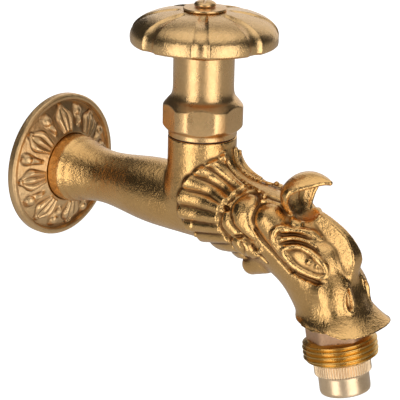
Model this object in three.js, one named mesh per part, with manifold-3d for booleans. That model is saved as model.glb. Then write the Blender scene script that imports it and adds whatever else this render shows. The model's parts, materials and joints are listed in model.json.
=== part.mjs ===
// Garden tap (hose bib) in cast brass with an animal-head spout.
// Millimetres, +Z up. Origin: centre of the inlet, in the plane of the wall.
// +X points out of the wall along the inlet, and the tap is symmetric about Y = 0.
import * as THREE from 'three';
import { mergeVertices } from 'three/addons/utils/BufferGeometryUtils.js';
import Module from 'manifold-3d';

const wasm = await Module();
wasm.setup();

// ---- driving dimensions ----------------------------------------------------
const GAP = 0.3;                 // space left between pieces that bear on each other

// inlet, wall rosette and pipe (radii about X, stations along X)
const INLET_R = 10.48;           // G 1/2 external thread, crest
const INLET_ROOT_R = 9.32;       // G 1/2 external thread, root, at the run-out groove
const INLET_LENGTH = 14;
const INLET_BORE_R = 5.5;
const ROSETTE_R = 28;
const ROSETTE_RIM_R = 26.9;
const ROSETTE_RIM_X = 3.6;
const ROSETTE_FIELD_X = 1.7;     // ground behind the leaves, at its outer edge
const ROSETTE_FIELD_R = 23.6;
const ROSETTE_CROWN_X = 6.6;     // brim of the well that the body's collar sits in
const ROSETTE_CROWN_R = 14.2;
const ROSETTE_SEAT_X = 2.4;      // flat ring the body's collar bears on
const COLLAR_R = 13;
const COLLAR_END_X = 12.2;

// valve, about the vertical axis at VALVE_X
const VALVE_X = 71;
const BOSS_R = 12.5;
const BOSS_TOP_Z = 26;
const CHAMBER_R = 10;
const CHAMBER_FLOOR_Z = 7.5;
const SEAT_Z = 9;
const SEAT_BORE_R = 4.8;
const LIFT = 5;                  // travel of the valve disc

// bonnet
const SPIGOT_R = 9.7;
const SPIGOT_END_Z = 18.6;
const RING_R = 12.4;
const RING_Z = 27;
const HEX_AF = 27;
const HEX_CORNER_R = 14.2;       // corners turned down to this radius
const HEX_FOOT_Z = 28.4;
const HEX_TOP_Z = 37.4;
const HEX_TURN = THREE.MathUtils.degToRad(4.7);
const NECK_R = 10.9;
const NECK_TOP_Z = 56;
const BONNET_THREAD_R = 6.3;
const PACKING_BOX_R = 7.5;
const PACKING_BOX_Z = 42.5;

// spindle and what it carries
const SPINDLE_THREAD_R = 6;
const STEM_R = 4;
const SPINDLE_END_Z = 14.9;
const SPINDLE_SHOULDER_Z = 34.5;
const SQUARE_AF = 6.2;
const SPINDLE_TOP_Z = 70.9;
const JUMPER_STEM_R = 2.4;
const SEAT_WASHER_R = 7.2;

// handwheel
const WHEEL_R = 26.3;
const WHEEL_RIM_Z = 59.6;        // lower edge of the rim
const WHEEL_TOP_Z = 71.3;
const WHEEL_HUB_R = 7;
const WHEEL_HUB_Z = 60.4;
const PETALS = 8;
const FLUTE_DEPTH = 1.1;
const FLUTE_TURN = THREE.MathUtils.degToRad(-55);

// spout: its own frame hangs at SPOUT, z along the outlet axis and pointing back up
const SPOUT = new THREE.Vector3(134, 0, -40);
const SPOUT_TILT = THREE.MathUtils.degToRad(11.45);
const LIP = new THREE.Vector3(134.4, 0, -28.8);
const LIP_TILT = THREE.MathUtils.degToRad(19);
const LIP_R = 16.5;
const MOUTH_FLOOR = 13.5;
const SOCKET_R = 8.9;
const SOCKET_TOP = 22.4;
const PASSAGE_R = 5.2;

// scallop on each flank
const FAN_HUB = new THREE.Vector2(95, 6);
const FAN_R = 23.4;
const FAN_SKEW = 4;              // the ribs grow from the first one, by the boss, to the lower ones
const FAN_RIBS = 10;
const FAN_START = THREE.MathUtils.degToRad(102);
const FAN_END = THREE.MathUtils.degToRad(228);

// hose nipple and aerator, along the outlet axis
const HOSE_PITCH = 1.814;        // G 3/4, 14 threads per inch
const NIPPLE_AF = 20;
const NIPPLE_HEX_TOP = 12.4;
const NIPPLE_HEX_END = 5.2;
const HOSE_R = 13.22;            // G 3/4 external thread, crest
const HOSE_ROOT_R = 12.06;
const NIPPLE_END = -2.4;
const NIPPLE_BORE_R = 6;
const AERATOR_SOCKET_R = 7.9;
const AERATOR_SOCKET_TOP = 5;
const KNURL_R = 10.1;
const KNURL_TEETH = 32;
const KNURL_TOP = -2.8;
const KNURL_END = -7.4;
const BARREL_R = 9;
const BARREL_END = -14.8;
const AERATOR_BORE_R = 6.6;
const AERATOR_INSERT_R = 6.3;

// ---- finishes ----------------------------------------------------------------
const finish = (color, roughness, metalness) => () => new THREE.MeshStandardMaterial({ color, roughness, metalness });
const CAST_BRASS = finish(0xb98748, 0.36, 1);
const POLISHED_BRASS = finish(0xd2a35e, 0.24, 1);
const SATIN_BRASS = finish(0xc79a66, 0.45, 1);
const PLAIN_BRASS = finish(0xb08d4e, 0.4, 1);
const STEEL = finish(0x9a9a9a, 0.4, 1);
const RUBBER = finish(0x1c1c1c, 0.8, 0);
const FIBRE = finish(0x5a3327, 0.9, 0);
const GRAPHITE = finish(0x3a3a3c, 0.7, 0);
const WHITE_PLASTIC = finish(0xe6e4dc, 0.5, 0);

// ---- helpers -----------------------------------------------------------------
/** Turns a closed three.js geometry into a manifold solid facing outwards. */
function solid(geometry) {
  const bare = geometry.clone();
  bare.deleteAttribute('normal');
  bare.deleteAttribute('uv');
  const welded = mergeVertices(bare, 1e-4);
  const corners = welded.index.array;
  const kept = [];
  for (let i = 0; i < corners.length; i += 3) {
    const [a, b, c] = [corners[i], corners[i + 1], corners[i + 2]];
    if (a !== b && b !== c && c !== a) kept.push(a, b, c);
  }
  const build = (triangles) => new wasm.Manifold(new wasm.Mesh({
    numProp: 3,
    vertProperties: new Float32Array(welded.attributes.position.array),
    triVerts: new Uint32Array(triangles),
  }));
  const made = build(kept);
  return made.volume() > 0 ? made : build(kept.reverse());
}

/** Turns a manifold solid back into a flat-shaded three.js geometry. */
function toGeometry(made) {
  const mesh = made.getMesh();
  const geometry = new THREE.BufferGeometry();
  geometry.setAttribute('position', new THREE.BufferAttribute(mesh.vertProperties, 3));
  geometry.setIndex(new THREE.BufferAttribute(mesh.triVerts, 1));
  const flat = geometry.toNonIndexed();
  flat.computeVertexNormals();
  return flat;
}

const joined = (first, ...others) => others.reduce((sum, each) => sum.add(each), first);
/** The one body of a joined solid, without slivers of space shut in where its pieces met. */
const whole = (made) => made.decompose().reduce((most, each) => (each.volume() > most.volume() ? each : most));
const cut = (first, ...tools) => tools.reduce((rest, each) => rest.subtract(each), first);

/** Lathe work about Z from a list of [radius, z]; the outline is closed onto the axis. */
function turned(outline, columns = 32) {
  const points = outline.map(([radius, z]) => new THREE.Vector2(radius, z));
  if (points[0].x > 0) points.unshift(new THREE.Vector2(0, points[0].y));
  if (points[points.length - 1].x > 0) points.push(new THREE.Vector2(0, points[points.length - 1].y));
  return new THREE.LatheGeometry(points, columns).rotateX(Math.PI / 2);
}

/** A plain ring about Z. */
function ring(inner, outer, bottom, top, columns = 24) {
  const outline = [[inner, bottom], [outer, bottom], [outer, top], [inner, top], [inner, bottom]];
  const points = outline.map(([radius, z]) => new THREE.Vector2(radius, z));
  return solid(new THREE.LatheGeometry(points, columns).rotateX(Math.PI / 2));
}

const rod = (radius, bottom, top, columns = 24) => solid(turned([[radius, bottom], [radius, top]], columns));

/** A prism about Z with `sides` flats, `across` from flat to flat. */
function prism(sides, across, bottom, top, turn = 0) {
  const corner = across / 2 / Math.cos(Math.PI / sides);
  const outline = new THREE.Shape();
  for (let i = 0; i < sides; i += 1) {
    const angle = turn + (i + 0.5) * 2 * Math.PI / sides;
    const [x, y] = [corner * Math.cos(angle), corner * Math.sin(angle)];
    if (i === 0) outline.moveTo(x, y);
    else outline.lineTo(x, y);
  }
  outline.closePath();
  const options = { depth: top - bottom, bevelEnabled: false };
  return solid(new THREE.ExtrudeGeometry(outline, options).translate(0, 0, bottom));
}

/** A hexagon with its corners turned down and chamfered top and bottom. */
function turnedHex(across, corner, bottom, top, chamfer, turn) {
  const inner = corner - 2 * chamfer;
  const blank = turned([[inner, bottom], [corner, bottom + chamfer], [corner, top - chamfer], [inner, top]], 36);
  return prism(6, across, bottom - 1, top + 1, turn).intersect(solid(blank));
}

/** A bar bent along a line in the X-Z plane with oval sections: [x, z, half width, half height]. */
function bentBar(stations, rows, columns) {
  const centres = stations.map(([x, z]) => new THREE.Vector3(x, 0, z));
  const sizes = stations.map(([, , wide, tall]) => new THREE.Vector3(wide, tall, 0));
  const line = new THREE.CatmullRomCurve3(centres, false, 'centripetal');
  const girth = new THREE.CatmullRomCurve3(sizes, false, 'catmullrom', 0.5);
  const outline = [new THREE.Vector2(0, 0)];
  for (let i = 0; i <= rows; i += 1) outline.push(new THREE.Vector2(1, i / rows));
  outline.push(new THREE.Vector2(0, 1));
  const bar = new THREE.LatheGeometry(outline, columns);
  const place = bar.attributes.position;
  for (let i = 0; i < place.count; i += 1) {
    const along = place.getY(i);
    const centre = line.getPoint(along);
    const tangent = line.getTangent(along);
    const size = girth.getPoint(along);
    const side = size.x * place.getX(i);
    const rise = size.y * place.getZ(i);
    place.setXYZ(i, centre.x - tangent.z * rise, side, centre.z + tangent.x * rise);
  }
  return solid(bar);
}

/** A round-ended rib from one point to another, with its own radius at each end. */
function rib(from, to, fromR, toR, columns = 6) {
  const start = new THREE.Vector3(...from);
  const along = new THREE.Vector3(...to).sub(start);
  const length = along.length();
  const outline = [];
  for (let i = 0; i <= 2; i += 1) {
    const angle = i * Math.PI / 4;
    outline.push(new THREE.Vector2(fromR * Math.sin(angle), -fromR * Math.cos(angle)));
  }
  for (let i = 2; i >= 0; i -= 1) {
    const angle = i * Math.PI / 4;
    outline.push(new THREE.Vector2(toR * Math.sin(angle), length + toR * Math.cos(angle)));
  }
  outline[0].x = 0;
  outline[outline.length - 1].x = 0;
  const bar = new THREE.LatheGeometry(outline, columns);
  bar.applyQuaternion(new THREE.Quaternion().setFromUnitVectors(new THREE.Vector3(0, 1, 0), along.normalize()));
  return solid(bar.translate(start.x, start.y, start.z));
}

/** An egg: radii along its own axes, turned about Y (pitch) and Z (yaw), then placed. */
function egg(centre, radii, pitch = 0, yaw = 0, columns = 12, rows = 8) {
  const ball = new THREE.SphereGeometry(1, columns, rows);
  ball.scale(...radii).rotateY(pitch).rotateZ(yaw);
  return solid(ball.translate(...centre));
}

/** Both copies of something that stands on the -Y side of the body. */
const paired = (made) => made.add(made.mirror([0, 1, 0]));

/** Puts a solid drawn about Z into the frame of the spout. */
const hang = (made, at, tilt) => made.rotate([0, -THREE.MathUtils.radToDeg(tilt), 0]).translate(at.toArray());
const atSpout = (made) => hang(made, SPOUT, SPOUT_TILT);
const atValve = (made) => made.translate([VALVE_X, 0, 0]);

/** Radius of a V thread with flattened crest and root, at height z and angle round the axis. */
function threadRadius(z, angle, root, crest) {
  const turn = z / HOSE_PITCH - angle / (2 * Math.PI);
  const phase = Math.abs(turn - Math.round(turn)) * 2;
  return root + (crest - root) * THREE.MathUtils.clamp((0.82 - phase) / 0.64, 0, 1);
}

// ---- body casting --------------------------------------------------------------
/** Inlet spigot (its thread as a plain crest with a run-out groove), collar and pipe, along X. */
function inletPipe() {
  const outline = [[INLET_ROOT_R, -INLET_LENGTH], [INLET_R, -INLET_LENGTH + 1.2], [INLET_R, -2.4]];
  outline.push([INLET_ROOT_R, -1.8], [INLET_ROOT_R, -0.8], [INLET_R, -0.2], [INLET_R, ROSETTE_SEAT_X + GAP]);
  outline.push([COLLAR_R, ROSETTE_SEAT_X + GAP], [COLLAR_R, COLLAR_END_X], [12, 13]);
  outline.push([10.9, 18], [10.15, 23.5], [10.1, 29], [11.2, 39], [12.3, 50], [BOSS_R, 58], [BOSS_R, VALVE_X]);
  return solid(turned(outline, 32)).rotate([0, 90, 0]);
}

/** Neck and head: one bar that leaves the valve level and curls down to the lip. */
function headBar() {
  const stations = [
    [60, 0, 11.6, 11.6],
    [70, 0, 12.3, 12.3],
    [80, 1, 12.8, 13.6],
    [90, 1.5, 13.4, 15.6],
    [100, -1, 13.2, 15.4],
    [110, -3.5, 12.6, 14.6],
    [119.5, -8.5, 12.2, 14],
    [126, -16, 12, 13],
    [129.3, -22.5, 12, 12.4],
    [131, -27.5, 12, 12.4],
  ];
  return bentBar(stations, 16, 24);
}

/** Flared lip round the mouth. */
function lip() {
  const bell = turned([[12.4, 9], [12.5, 4.5], [13.6, 2.2], [15.4, 0.8], [LIP_R, 0.4], [LIP_R, -0.6]], 32);
  return hang(solid(bell), LIP, LIP_TILT);
}

/** Scallop on the -Y flank: ribs fan out from a hub over a sector, with a notched edge. */
function fan() {
  const columns = 60;
  const outline = [[0, 2.2], [0.25, 1.6], [0.62, 1.6], [0.92, 1.2], [1, 0.2], [0.9, -1.6], [0, -1.6]];
  const shell = new THREE.LatheGeometry(outline.map(([radius, y]) => new THREE.Vector2(radius, y)), columns);
  const place = shell.attributes.position;
  for (let i = 0; i < place.count; i += 1) {
    const [reach, rise] = outline[i % outline.length];
    const angle = (Math.floor(i / outline.length) % columns) * 2 * Math.PI / columns;
    const along = (angle - FAN_START) / (FAN_END - FAN_START);
    const onFan = along > -0.02 && along < 1.02;
    const wave = onFan ? Math.cos(2 * Math.PI * (FAN_RIBS - 1) * along) : -1;
    const rim = onFan ? FAN_R - FAN_SKEW * Math.cos(1.45 * Math.PI * along) : FAN_R / 3;
    const radius = reach * (rim + (reach > 0.8 ? 0.7 * wave : 0));
    const height = rise > 0 && reach > 0 ? rise + 0.75 * wave * reach : rise;
    place.setXYZ(i, radius * Math.cos(angle), -height, radius * Math.sin(angle));
  }
  return solid(shell).translate([FAN_HUB.x, -12.4, FAN_HUB.y]);
}

/** Rolled lobes, cheek and beard behind the head, on the -Y flank. */
function lobes() {
  const disc = egg([99, -12.6, 7.5], [4.6, 3.4, 4.6], 0, 0, 10, 8);
  const lower = egg([95.5, -12.8, 0.5], [3.6, 3, 3.8], 0, 0, 10, 6);
  const curl = egg([98.5, -11.8, -6], [4, 2.6, 3.4], 0, 0, 10, 6);
  const cheek = rib([104, -10.4, 8], [119, -9.4, -12], 4.6, 4.2, 8);
  return joined(disc, lower, curl, cheek);
}

/** Upright leaf-shaped ear with a hollow front. */
function ear() {
  const leaf = egg([112.5, -8.6, 13.5], [11.5, 3, 5.6], -0.62, 0.12, 14, 8);
  const hollow = egg([116.5, -9.8, 12], [9.5, 2.6, 3.9], -0.7, 0.12, 14, 8);
  return leaf.subtract(hollow);
}

/** Brow, eye, cheek fold and nostril ridge on the -Y side of the face. */
function face() {
  const brow = rib([112, -11.4, 1.8], [127.5, -9.8, -1.5], 1.7, 1.4);
  const eye = egg([124, -11.2, -5.6], [4, 1.9, 2.3], 0.35);
  const fold = rib([119, -11.2, -9.5], [130, -9.4, -10.5], 1.3, 1.1);
  const nostril = rib([136, -6.8, -11.5], [140.4, -6.4, -19], 1.8, 1.5);
  return joined(brow, eye, fold, nostril);
}

/** Everything the water runs through, as one cutting tool. */
function waterway() {
  const inlet = solid(turned([[INLET_BORE_R, -INLET_LENGTH - 1], [INLET_BORE_R, VALVE_X + 2], [3.4, VALVE_X + 5.2]], 24));
  const port = atValve(rod(SEAT_BORE_R, 0, SEAT_Z + 1, 24));
  const floor = [[SEAT_BORE_R + 2.2, SEAT_Z], [SEAT_BORE_R + 2.6, CHAMBER_FLOOR_Z], [CHAMBER_R, CHAMBER_FLOOR_Z]];
  const chamber = atValve(solid(turned([...floor, [CHAMBER_R, BOSS_TOP_Z + 1]], 32)));
  const passage = bentBar([
    [VALVE_X + 3, 13.2, PASSAGE_R, PASSAGE_R],
    [88, 12, PASSAGE_R, PASSAGE_R],
    [103, 5.5, PASSAGE_R, PASSAGE_R],
    [117, -4, PASSAGE_R, PASSAGE_R],
    [126, -13, PASSAGE_R, PASSAGE_R],
    [129.8, -20.5, PASSAGE_R, PASSAGE_R],
  ], 9, 14);
  const throat = atSpout(rod(6, 12, 23.4, 24));
  const socket = atSpout(rod(SOCKET_R, 12, SOCKET_TOP, 32));
  const mouth = atSpout(solid(turned([[12, MOUTH_FLOOR], [12.3, 12.2], [17.2, 7.6], [17.2, 3]], 32)));
  return joined(inlet.rotate([0, 90, 0]), port, chamber, passage, throat, socket, mouth);
}

function bodyCasting() {
  const boss = atValve(solid(turned([[BOSS_R, 0], [BOSS_R, BOSS_TOP_Z - 0.4], [BOSS_R - 0.4, BOSS_TOP_Z]], 36)));
  const shoulder = egg([86.5, 0, 12], [11, 11.2, 11], 0.5, 0, 16, 10);
  const beard = egg([96, 0, -13.5], [6.5, 7, 6.4]);
  const crest = rib([104, 0, 11.5], [133, 0, 1], 4.4, 3.2);
  const flank = paired(joined(fan(), lobes(), ear(), face()));
  const outside = joined(inletPipe(), boss, headBar(), lip(), shoulder, beard, crest, flank);
  return whole(cut(outside, waterway()));
}

// ---- wall rosette ----------------------------------------------------------------
/** Height of the leaf relief: eight three-ribbed leaves with a bud between each pair. */
function relief(radius, angle) {
  const span = (radius - ROSETTE_CROWN_R) / (ROSETTE_FIELD_R - ROSETTE_CROWN_R);
  if (span <= 0 || span >= 1) return 0;
  const leaf = Math.cos(8 * angle);
  const body = Math.sin(Math.PI * Math.min(span * 1.15, 1));
  return leaf > 0 ? 1.3 * leaf * body : 0.9 * -leaf * Math.exp(-(((span - 0.72) / 0.16) ** 2));
}

/** Ground behind the leaves: a shallow cone from the rim up to the brim of the well. */
function ground(radius) {
  const span = (ROSETTE_FIELD_R - radius) / (ROSETTE_FIELD_R - ROSETTE_CROWN_R);
  return ROSETTE_FIELD_X + (ROSETTE_CROWN_X - ROSETTE_FIELD_X) * span;
}

function wallRosette() {
  const rim = [
    [10.9, 0], [ROSETTE_R, 0], [ROSETTE_R, 2.5], [ROSETTE_R - 0.35, 3.1], [ROSETTE_RIM_R, ROSETTE_RIM_X],
    [24.6, ROSETTE_RIM_X],
  ];
  const field = [ROSETTE_FIELD_R, 21.6, 19.6, 17.4, 15.6, ROSETTE_CROWN_R].map((radius) => [radius, ground(radius)]);
  const well = [
    [COLLAR_R + GAP, ROSETTE_CROWN_X], [COLLAR_R + GAP, ROSETTE_SEAT_X], [10.9, ROSETTE_SEAT_X], [10.9, 0],
  ];
  const rows = [...rim, ...field, ...well];
  const disc = new THREE.LatheGeometry(rows.map(([radius, z]) => new THREE.Vector2(radius, z)), 48);
  const place = disc.attributes.position;
  for (let i = 0; i < place.count; i += 1) {
    const row = i % rows.length;
    if (row < rim.length || row >= rim.length + field.length) continue;
    const angle = Math.atan2(place.getX(i), place.getZ(i));
    place.setY(i, rows[row][1] + relief(rows[row][0], angle));
  }
  return solid(disc.rotateX(Math.PI / 2)).rotate([0, 90, 0]);
}

// ---- valve ------------------------------------------------------------------------
function bonnet() {
  const spigot = solid(turned([[SPIGOT_R - 0.6, SPIGOT_END_Z], [SPIGOT_R, SPIGOT_END_Z + 0.6], [SPIGOT_R, 28]], 28));
  const flange = solid(turned([
    [RING_R - 0.3, RING_Z], [RING_R, RING_Z + 0.3], [RING_R, HEX_FOOT_Z - 0.2], [RING_R - 0.4, HEX_FOOT_Z + 0.6],
  ], 36));
  const hex = turnedHex(HEX_AF, HEX_CORNER_R, HEX_FOOT_Z, HEX_TOP_Z + 1.2, 1.3, HEX_TURN);
  const neck = solid(turned([
    [12.4, HEX_TOP_Z], [11.6, HEX_TOP_Z + 2.4], [11.2, HEX_TOP_Z + 3.4], [NECK_R, HEX_TOP_Z + 5],
    [NECK_R, NECK_TOP_Z],
  ], 36));
  const bore = solid(turned([
    [8.1, SPIGOT_END_Z - 1], [8.1, 22], [BONNET_THREAD_R, 23], [BONNET_THREAD_R, 41], [STEM_R + GAP, 41.2],
    [STEM_R + GAP, PACKING_BOX_Z], [PACKING_BOX_R, PACKING_BOX_Z], [PACKING_BOX_R, NECK_TOP_Z + 1],
  ], 24));
  return cut(joined(spigot, flange, hex, neck), bore);
}

const bonnetGasket = () => ring(SPIGOT_R + 0.2, 12, BOSS_TOP_Z + 0.2, RING_Z - 0.2, 30);
const packingWasher = () => ring(STEM_R + GAP, PACKING_BOX_R - GAP, 42.8, 43.8, 24);
const packingRing = (bottom) => ring(STEM_R + 0.15, PACKING_BOX_R - 0.15, bottom, bottom + 2.5, 24);

function glandNut() {
  const thread = rod(PACKING_BOX_R - 0.2, 49.7, 57, 24);
  const head = turnedHex(15, 8.4, NECK_TOP_Z + GAP, 59.4, 0.5, 0);
  return cut(joined(thread, head), rod(STEM_R + 0.2, 49, 60, 24));
}

/** Rising spindle: threaded barrel, plain stem, square end for the handwheel. */
function spindle() {
  const barrel = solid(turned([
    [SPINDLE_THREAD_R - 0.6, SPINDLE_END_Z], [SPINDLE_THREAD_R, SPINDLE_END_Z + 0.6],
    [SPINDLE_THREAD_R, SPINDLE_SHOULDER_Z - 0.6], [SPINDLE_THREAD_R - 0.6, SPINDLE_SHOULDER_Z],
  ], 24));
  const stem = rod(STEM_R, SPINDLE_SHOULDER_Z - 1, WHEEL_HUB_Z - GAP, 20);
  const square = prism(4, SQUARE_AF, WHEEL_HUB_Z - 1, SPINDLE_TOP_Z);
  const jumperHole = rod(JUMPER_STEM_R + GAP, SPINDLE_END_Z - 1, 26, 16);
  const screwHole = rod(1.95, 60, SPINDLE_TOP_Z + 1, 12);
  return cut(joined(barrel, stem, square), jumperHole, screwHole);
}

/** Loose valve disc: plate, stem up into the spindle, stud down through the washer. */
function jumper() {
  const outline = [
    [1.5, 6.2], [1.5, 12.6], [7.4, 12.6], [7.6, 12.8], [7.6, 14.1], [7.2, SPINDLE_END_Z - GAP],
    [JUMPER_STEM_R, SPINDLE_END_Z - GAP], [JUMPER_STEM_R, 24.5], [JUMPER_STEM_R - 0.5, 25],
  ];
  return solid(turned(outline, 20));
}

const seatWasher = () => ring(1.8, SEAT_WASHER_R, SEAT_Z + GAP, 12.35, 24);
const washerNut = () => turnedHex(6, 3.3, 6.6, SEAT_Z, 0.3, 0).subtract(rod(1.8, 6, 10, 12));

// ---- handwheel ----------------------------------------------------------------------
/** Domed, hollow handwheel with eight shallow flutes running over the dome and down the rim. */
function handwheel() {
  const outline = [
    [0, WHEEL_TOP_Z], [9, WHEEL_TOP_Z - 0.1], [14, 70.7], [19, 69.5], [22.8, 68], [25, 66.4], [WHEEL_R, 64.6],
    [WHEEL_R, 61], [WHEEL_R - 0.2, WHEEL_RIM_Z + 0.3], [WHEEL_R - 0.9, WHEEL_RIM_Z], [23.2, WHEEL_RIM_Z + 0.6],
    [22.6, 63.4], [20, 66], [WHEEL_HUB_R + 1, 67.6], [WHEEL_HUB_R, 66.6], [WHEEL_HUB_R, WHEEL_HUB_Z], [0, WHEEL_HUB_Z],
  ];
  const inPetal = [0, 5, 8.5, 22.5, 36.5, 40].map((angle) => THREE.MathUtils.degToRad(angle));
  const dome = new THREE.LatheGeometry(outline.map(([radius, z]) => new THREE.Vector2(radius, z)), PETALS * 6);
  const place = dome.attributes.position;
  for (let i = 0; i < place.count; i += 1) {
    const column = Math.floor(i / outline.length) % (PETALS * 6);
    const row = i % outline.length;
    const [radius, z] = outline[row];
    const angle = FLUTE_TURN + Math.floor(column / 6) * Math.PI / 4 + inPetal[column % 6];
    const fluted = row >= 2 && row <= 9 && column % 6 === 0;
    const lean = THREE.MathUtils.clamp((radius - 12) / 13, 0, 1);
    const deep = fluted ? FLUTE_DEPTH : 0;
    const reach = radius - deep * lean;
    place.setXYZ(i, reach * Math.cos(angle), reach * Math.sin(angle), z - (row < 7 ? deep * (1 - lean) : 0));
  }
  const socket = prism(4, SQUARE_AF + 2 * GAP, WHEEL_HUB_Z - 1, WHEEL_TOP_Z + 1);
  return solid(dome).subtract(socket);
}

const wheelWasher = () => ring(1.9, 7.7, WHEEL_TOP_Z + GAP, WHEEL_TOP_Z + GAP + 1, 32);

function wheelScrew() {
  const head = 72.9;
  const outline = [[1.2, 62], [1.6, 62.5], [1.6, head], [3.8, head], [3.85, head + 0.8]];
  for (let i = 1; i <= 4; i += 1) {
    const angle = i * Math.PI / 8;
    outline.push([3.85 * Math.cos(angle), head + 0.8 + 2.1 * Math.sin(angle)]);
  }
  outline[outline.length - 1][0] = 0;
  const slot = solid(new THREE.BoxGeometry(0.9, 9, 2)).rotate([0, 0, 30]).translate([0, 0, head + 3.2]);
  return solid(turned(outline, 24)).subtract(slot);
}

// ---- hose nipple and aerator ------------------------------------------------------------
/** The G 3/4 hose thread as one closed turned body whose radius follows the helix. */
function hoseThread() {
  const top = NIPPLE_HEX_END + 0.4;
  const rows = 16;
  const columns = 36;
  const outline = [new THREE.Vector2(0, NIPPLE_END)];
  for (let i = 0; i <= rows; i += 1) outline.push(new THREE.Vector2(1, NIPPLE_END + (top - NIPPLE_END) * i / rows));
  outline.push(new THREE.Vector2(0, top));
  const thread = new THREE.LatheGeometry(outline, columns);
  const place = thread.attributes.position;
  for (let i = 0; i < place.count; i += 1) {
    const z = place.getY(i);
    const angle = (Math.floor(i / outline.length) % columns) * 2 * Math.PI / columns;
    const unit = Math.hypot(place.getX(i), place.getZ(i)) > 0.5 ? 1 : 0;
    const toEnd = Math.min(z - NIPPLE_END, top - z);
    const full = threadRadius(z, angle, HOSE_ROOT_R, HOSE_R);
    const radius = unit * Math.min(full, HOSE_ROOT_R + toEnd * 1.2);
    place.setXYZ(i, radius * Math.sin(angle), z, radius * Math.cos(angle));
  }
  return solid(thread.rotateX(Math.PI / 2));
}

function hoseNipple() {
  const spigot = solid(turned([[8.6, NIPPLE_HEX_TOP - 1], [8.6, 21.4], [8, 22]], 24));
  const hex = turnedHex(NIPPLE_AF, 11.4, NIPPLE_HEX_END - 0.6, NIPPLE_HEX_TOP, 0.4, 0);
  const bore = rod(NIPPLE_BORE_R, 4, 23, 20);
  const socket = rod(AERATOR_SOCKET_R, NIPPLE_END - 1, AERATOR_SOCKET_TOP, 24);
  return cut(joined(spigot, hex, hoseThread()), bore, socket);
}

const nippleGasket = () => ring(8.9, 11.4, NIPPLE_HEX_TOP + 0.15, MOUTH_FLOOR - 0.15, 32).subtract(rod(8.8, 12, 14, 32));

/** Straight-knurled grip band. */
function knurlBand() {
  const outline = new THREE.Shape();
  for (let i = 0; i < KNURL_TEETH * 2; i += 1) {
    const angle = i * Math.PI / KNURL_TEETH;
    const radius = i % 2 === 0 ? KNURL_R : KNURL_R - 0.5;
    if (i === 0) outline.moveTo(radius, 0);
    else outline.lineTo(radius * Math.cos(angle), radius * Math.sin(angle));
  }
  outline.closePath();
  const options = { depth: KNURL_TOP - KNURL_END, bevelEnabled: false };
  return solid(new THREE.ExtrudeGeometry(outline, options).translate(0, 0, KNURL_END));
}

function aeratorShell() {
  const barrel = solid(turned([
    [8.1, BARREL_END], [8.75, BARREL_END + 0.5], [BARREL_R, BARREL_END + 1.4], [BARREL_R, KNURL_END + 0.5],
  ], 28));
  const spigot = solid(turned([[7.55, KNURL_END], [7.55, 3.4], [7, 4]], 24));
  const bore = rod(AERATOR_BORE_R, BARREL_END + 1, 5, 24);
  const mouth = rod(5.6, BARREL_END - 1, 0, 24);
  return cut(joined(barrel, knurlBand(), spigot), bore, mouth);
}

const aeratorGasket = () => ring(6.2, AERATOR_SOCKET_R - 0.2, 4.15, AERATOR_SOCKET_TOP - 0.15, 28);

/** Flow straightener: a sleeve with crossed vanes. */
function aeratorCore() {
  const bottom = BARREL_END + 1.3;
  const top = -6;
  const sleeve = ring(5.4, AERATOR_INSERT_R, bottom, top, 24);
  const vane = (turn) => solid(new THREE.BoxGeometry(11.4, 0.7, top - bottom - 1))
    .translate([0, 0, (top + bottom) / 2])
    .rotate([0, 0, turn]);
  return joined(sleeve, vane(0), vane(60), vane(120), rod(1.6, bottom + 0.5, top - 0.5, 12));
}

/** Round perforated screen. */
function screen(bottom) {
  const holes = [rod(1.1, bottom - 1, bottom + 2, 8)];
  for (let i = 0; i < 6; i += 1) {
    holes.push(rod(1.1, bottom - 1, bottom + 2, 8).translate([3.7, 0, 0]).rotate([0, 0, i * 60]));
  }
  return cut(rod(AERATOR_INSERT_R, bottom, bottom + 0.6, 24), ...holes);
}

// ---- assembly ------------------------------------------------------------------------------
const group = new THREE.Group();
group.name = 'hose_bib';
const valve = new THREE.Group();
valve.name = 'valve';
valve.position.x = VALVE_X;
const outlet = new THREE.Group();
outlet.name = 'outlet';
outlet.position.copy(SPOUT);
outlet.rotation.y = -SPOUT_TILT;
group.add(valve, outlet);

function add(parent, name, made, material) {
  const mesh = new THREE.Mesh(toGeometry(made), material());
  mesh.name = name;
  parent.add(mesh);
}

add(group, 'body_casting', bodyCasting(), CAST_BRASS);
add(group, 'wall_rosette', wallRosette(), CAST_BRASS);

add(valve, 'bonnet', bonnet(), POLISHED_BRASS);
add(valve, 'bonnet_gasket', bonnetGasket(), FIBRE);
add(valve, 'packing_washer', packingWasher(), PLAIN_BRASS);
add(valve, 'packing_ring_lower', packingRing(44.1), GRAPHITE);
add(valve, 'packing_ring_upper', packingRing(46.9), GRAPHITE);
add(valve, 'gland_nut', glandNut(), PLAIN_BRASS);
add(valve, 'spindle', spindle(), PLAIN_BRASS);
add(valve, 'jumper', jumper(), PLAIN_BRASS);
add(valve, 'seat_washer', seatWasher(), RUBBER);
add(valve, 'washer_nut', washerNut(), PLAIN_BRASS);
add(valve, 'handwheel', handwheel(), POLISHED_BRASS);
add(valve, 'wheel_washer', wheelWasher(), POLISHED_BRASS);
add(valve, 'wheel_screw', wheelScrew(), POLISHED_BRASS);

add(outlet, 'hose_nipple', hoseNipple(), SATIN_BRASS);
add(outlet, 'nipple_gasket', nippleGasket(), FIBRE);
add(outlet, 'aerator_gasket', aeratorGasket(), RUBBER);
add(outlet, 'aerator_shell', aeratorShell(), SATIN_BRASS);
add(outlet, 'aerator_core', aeratorCore(), WHITE_PLASTIC);
add(outlet, 'aerator_screen_lower', screen(-5.7), STEEL);
add(outlet, 'aerator_screen_upper', screen(-4.8), STEEL);

export default group;
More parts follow.
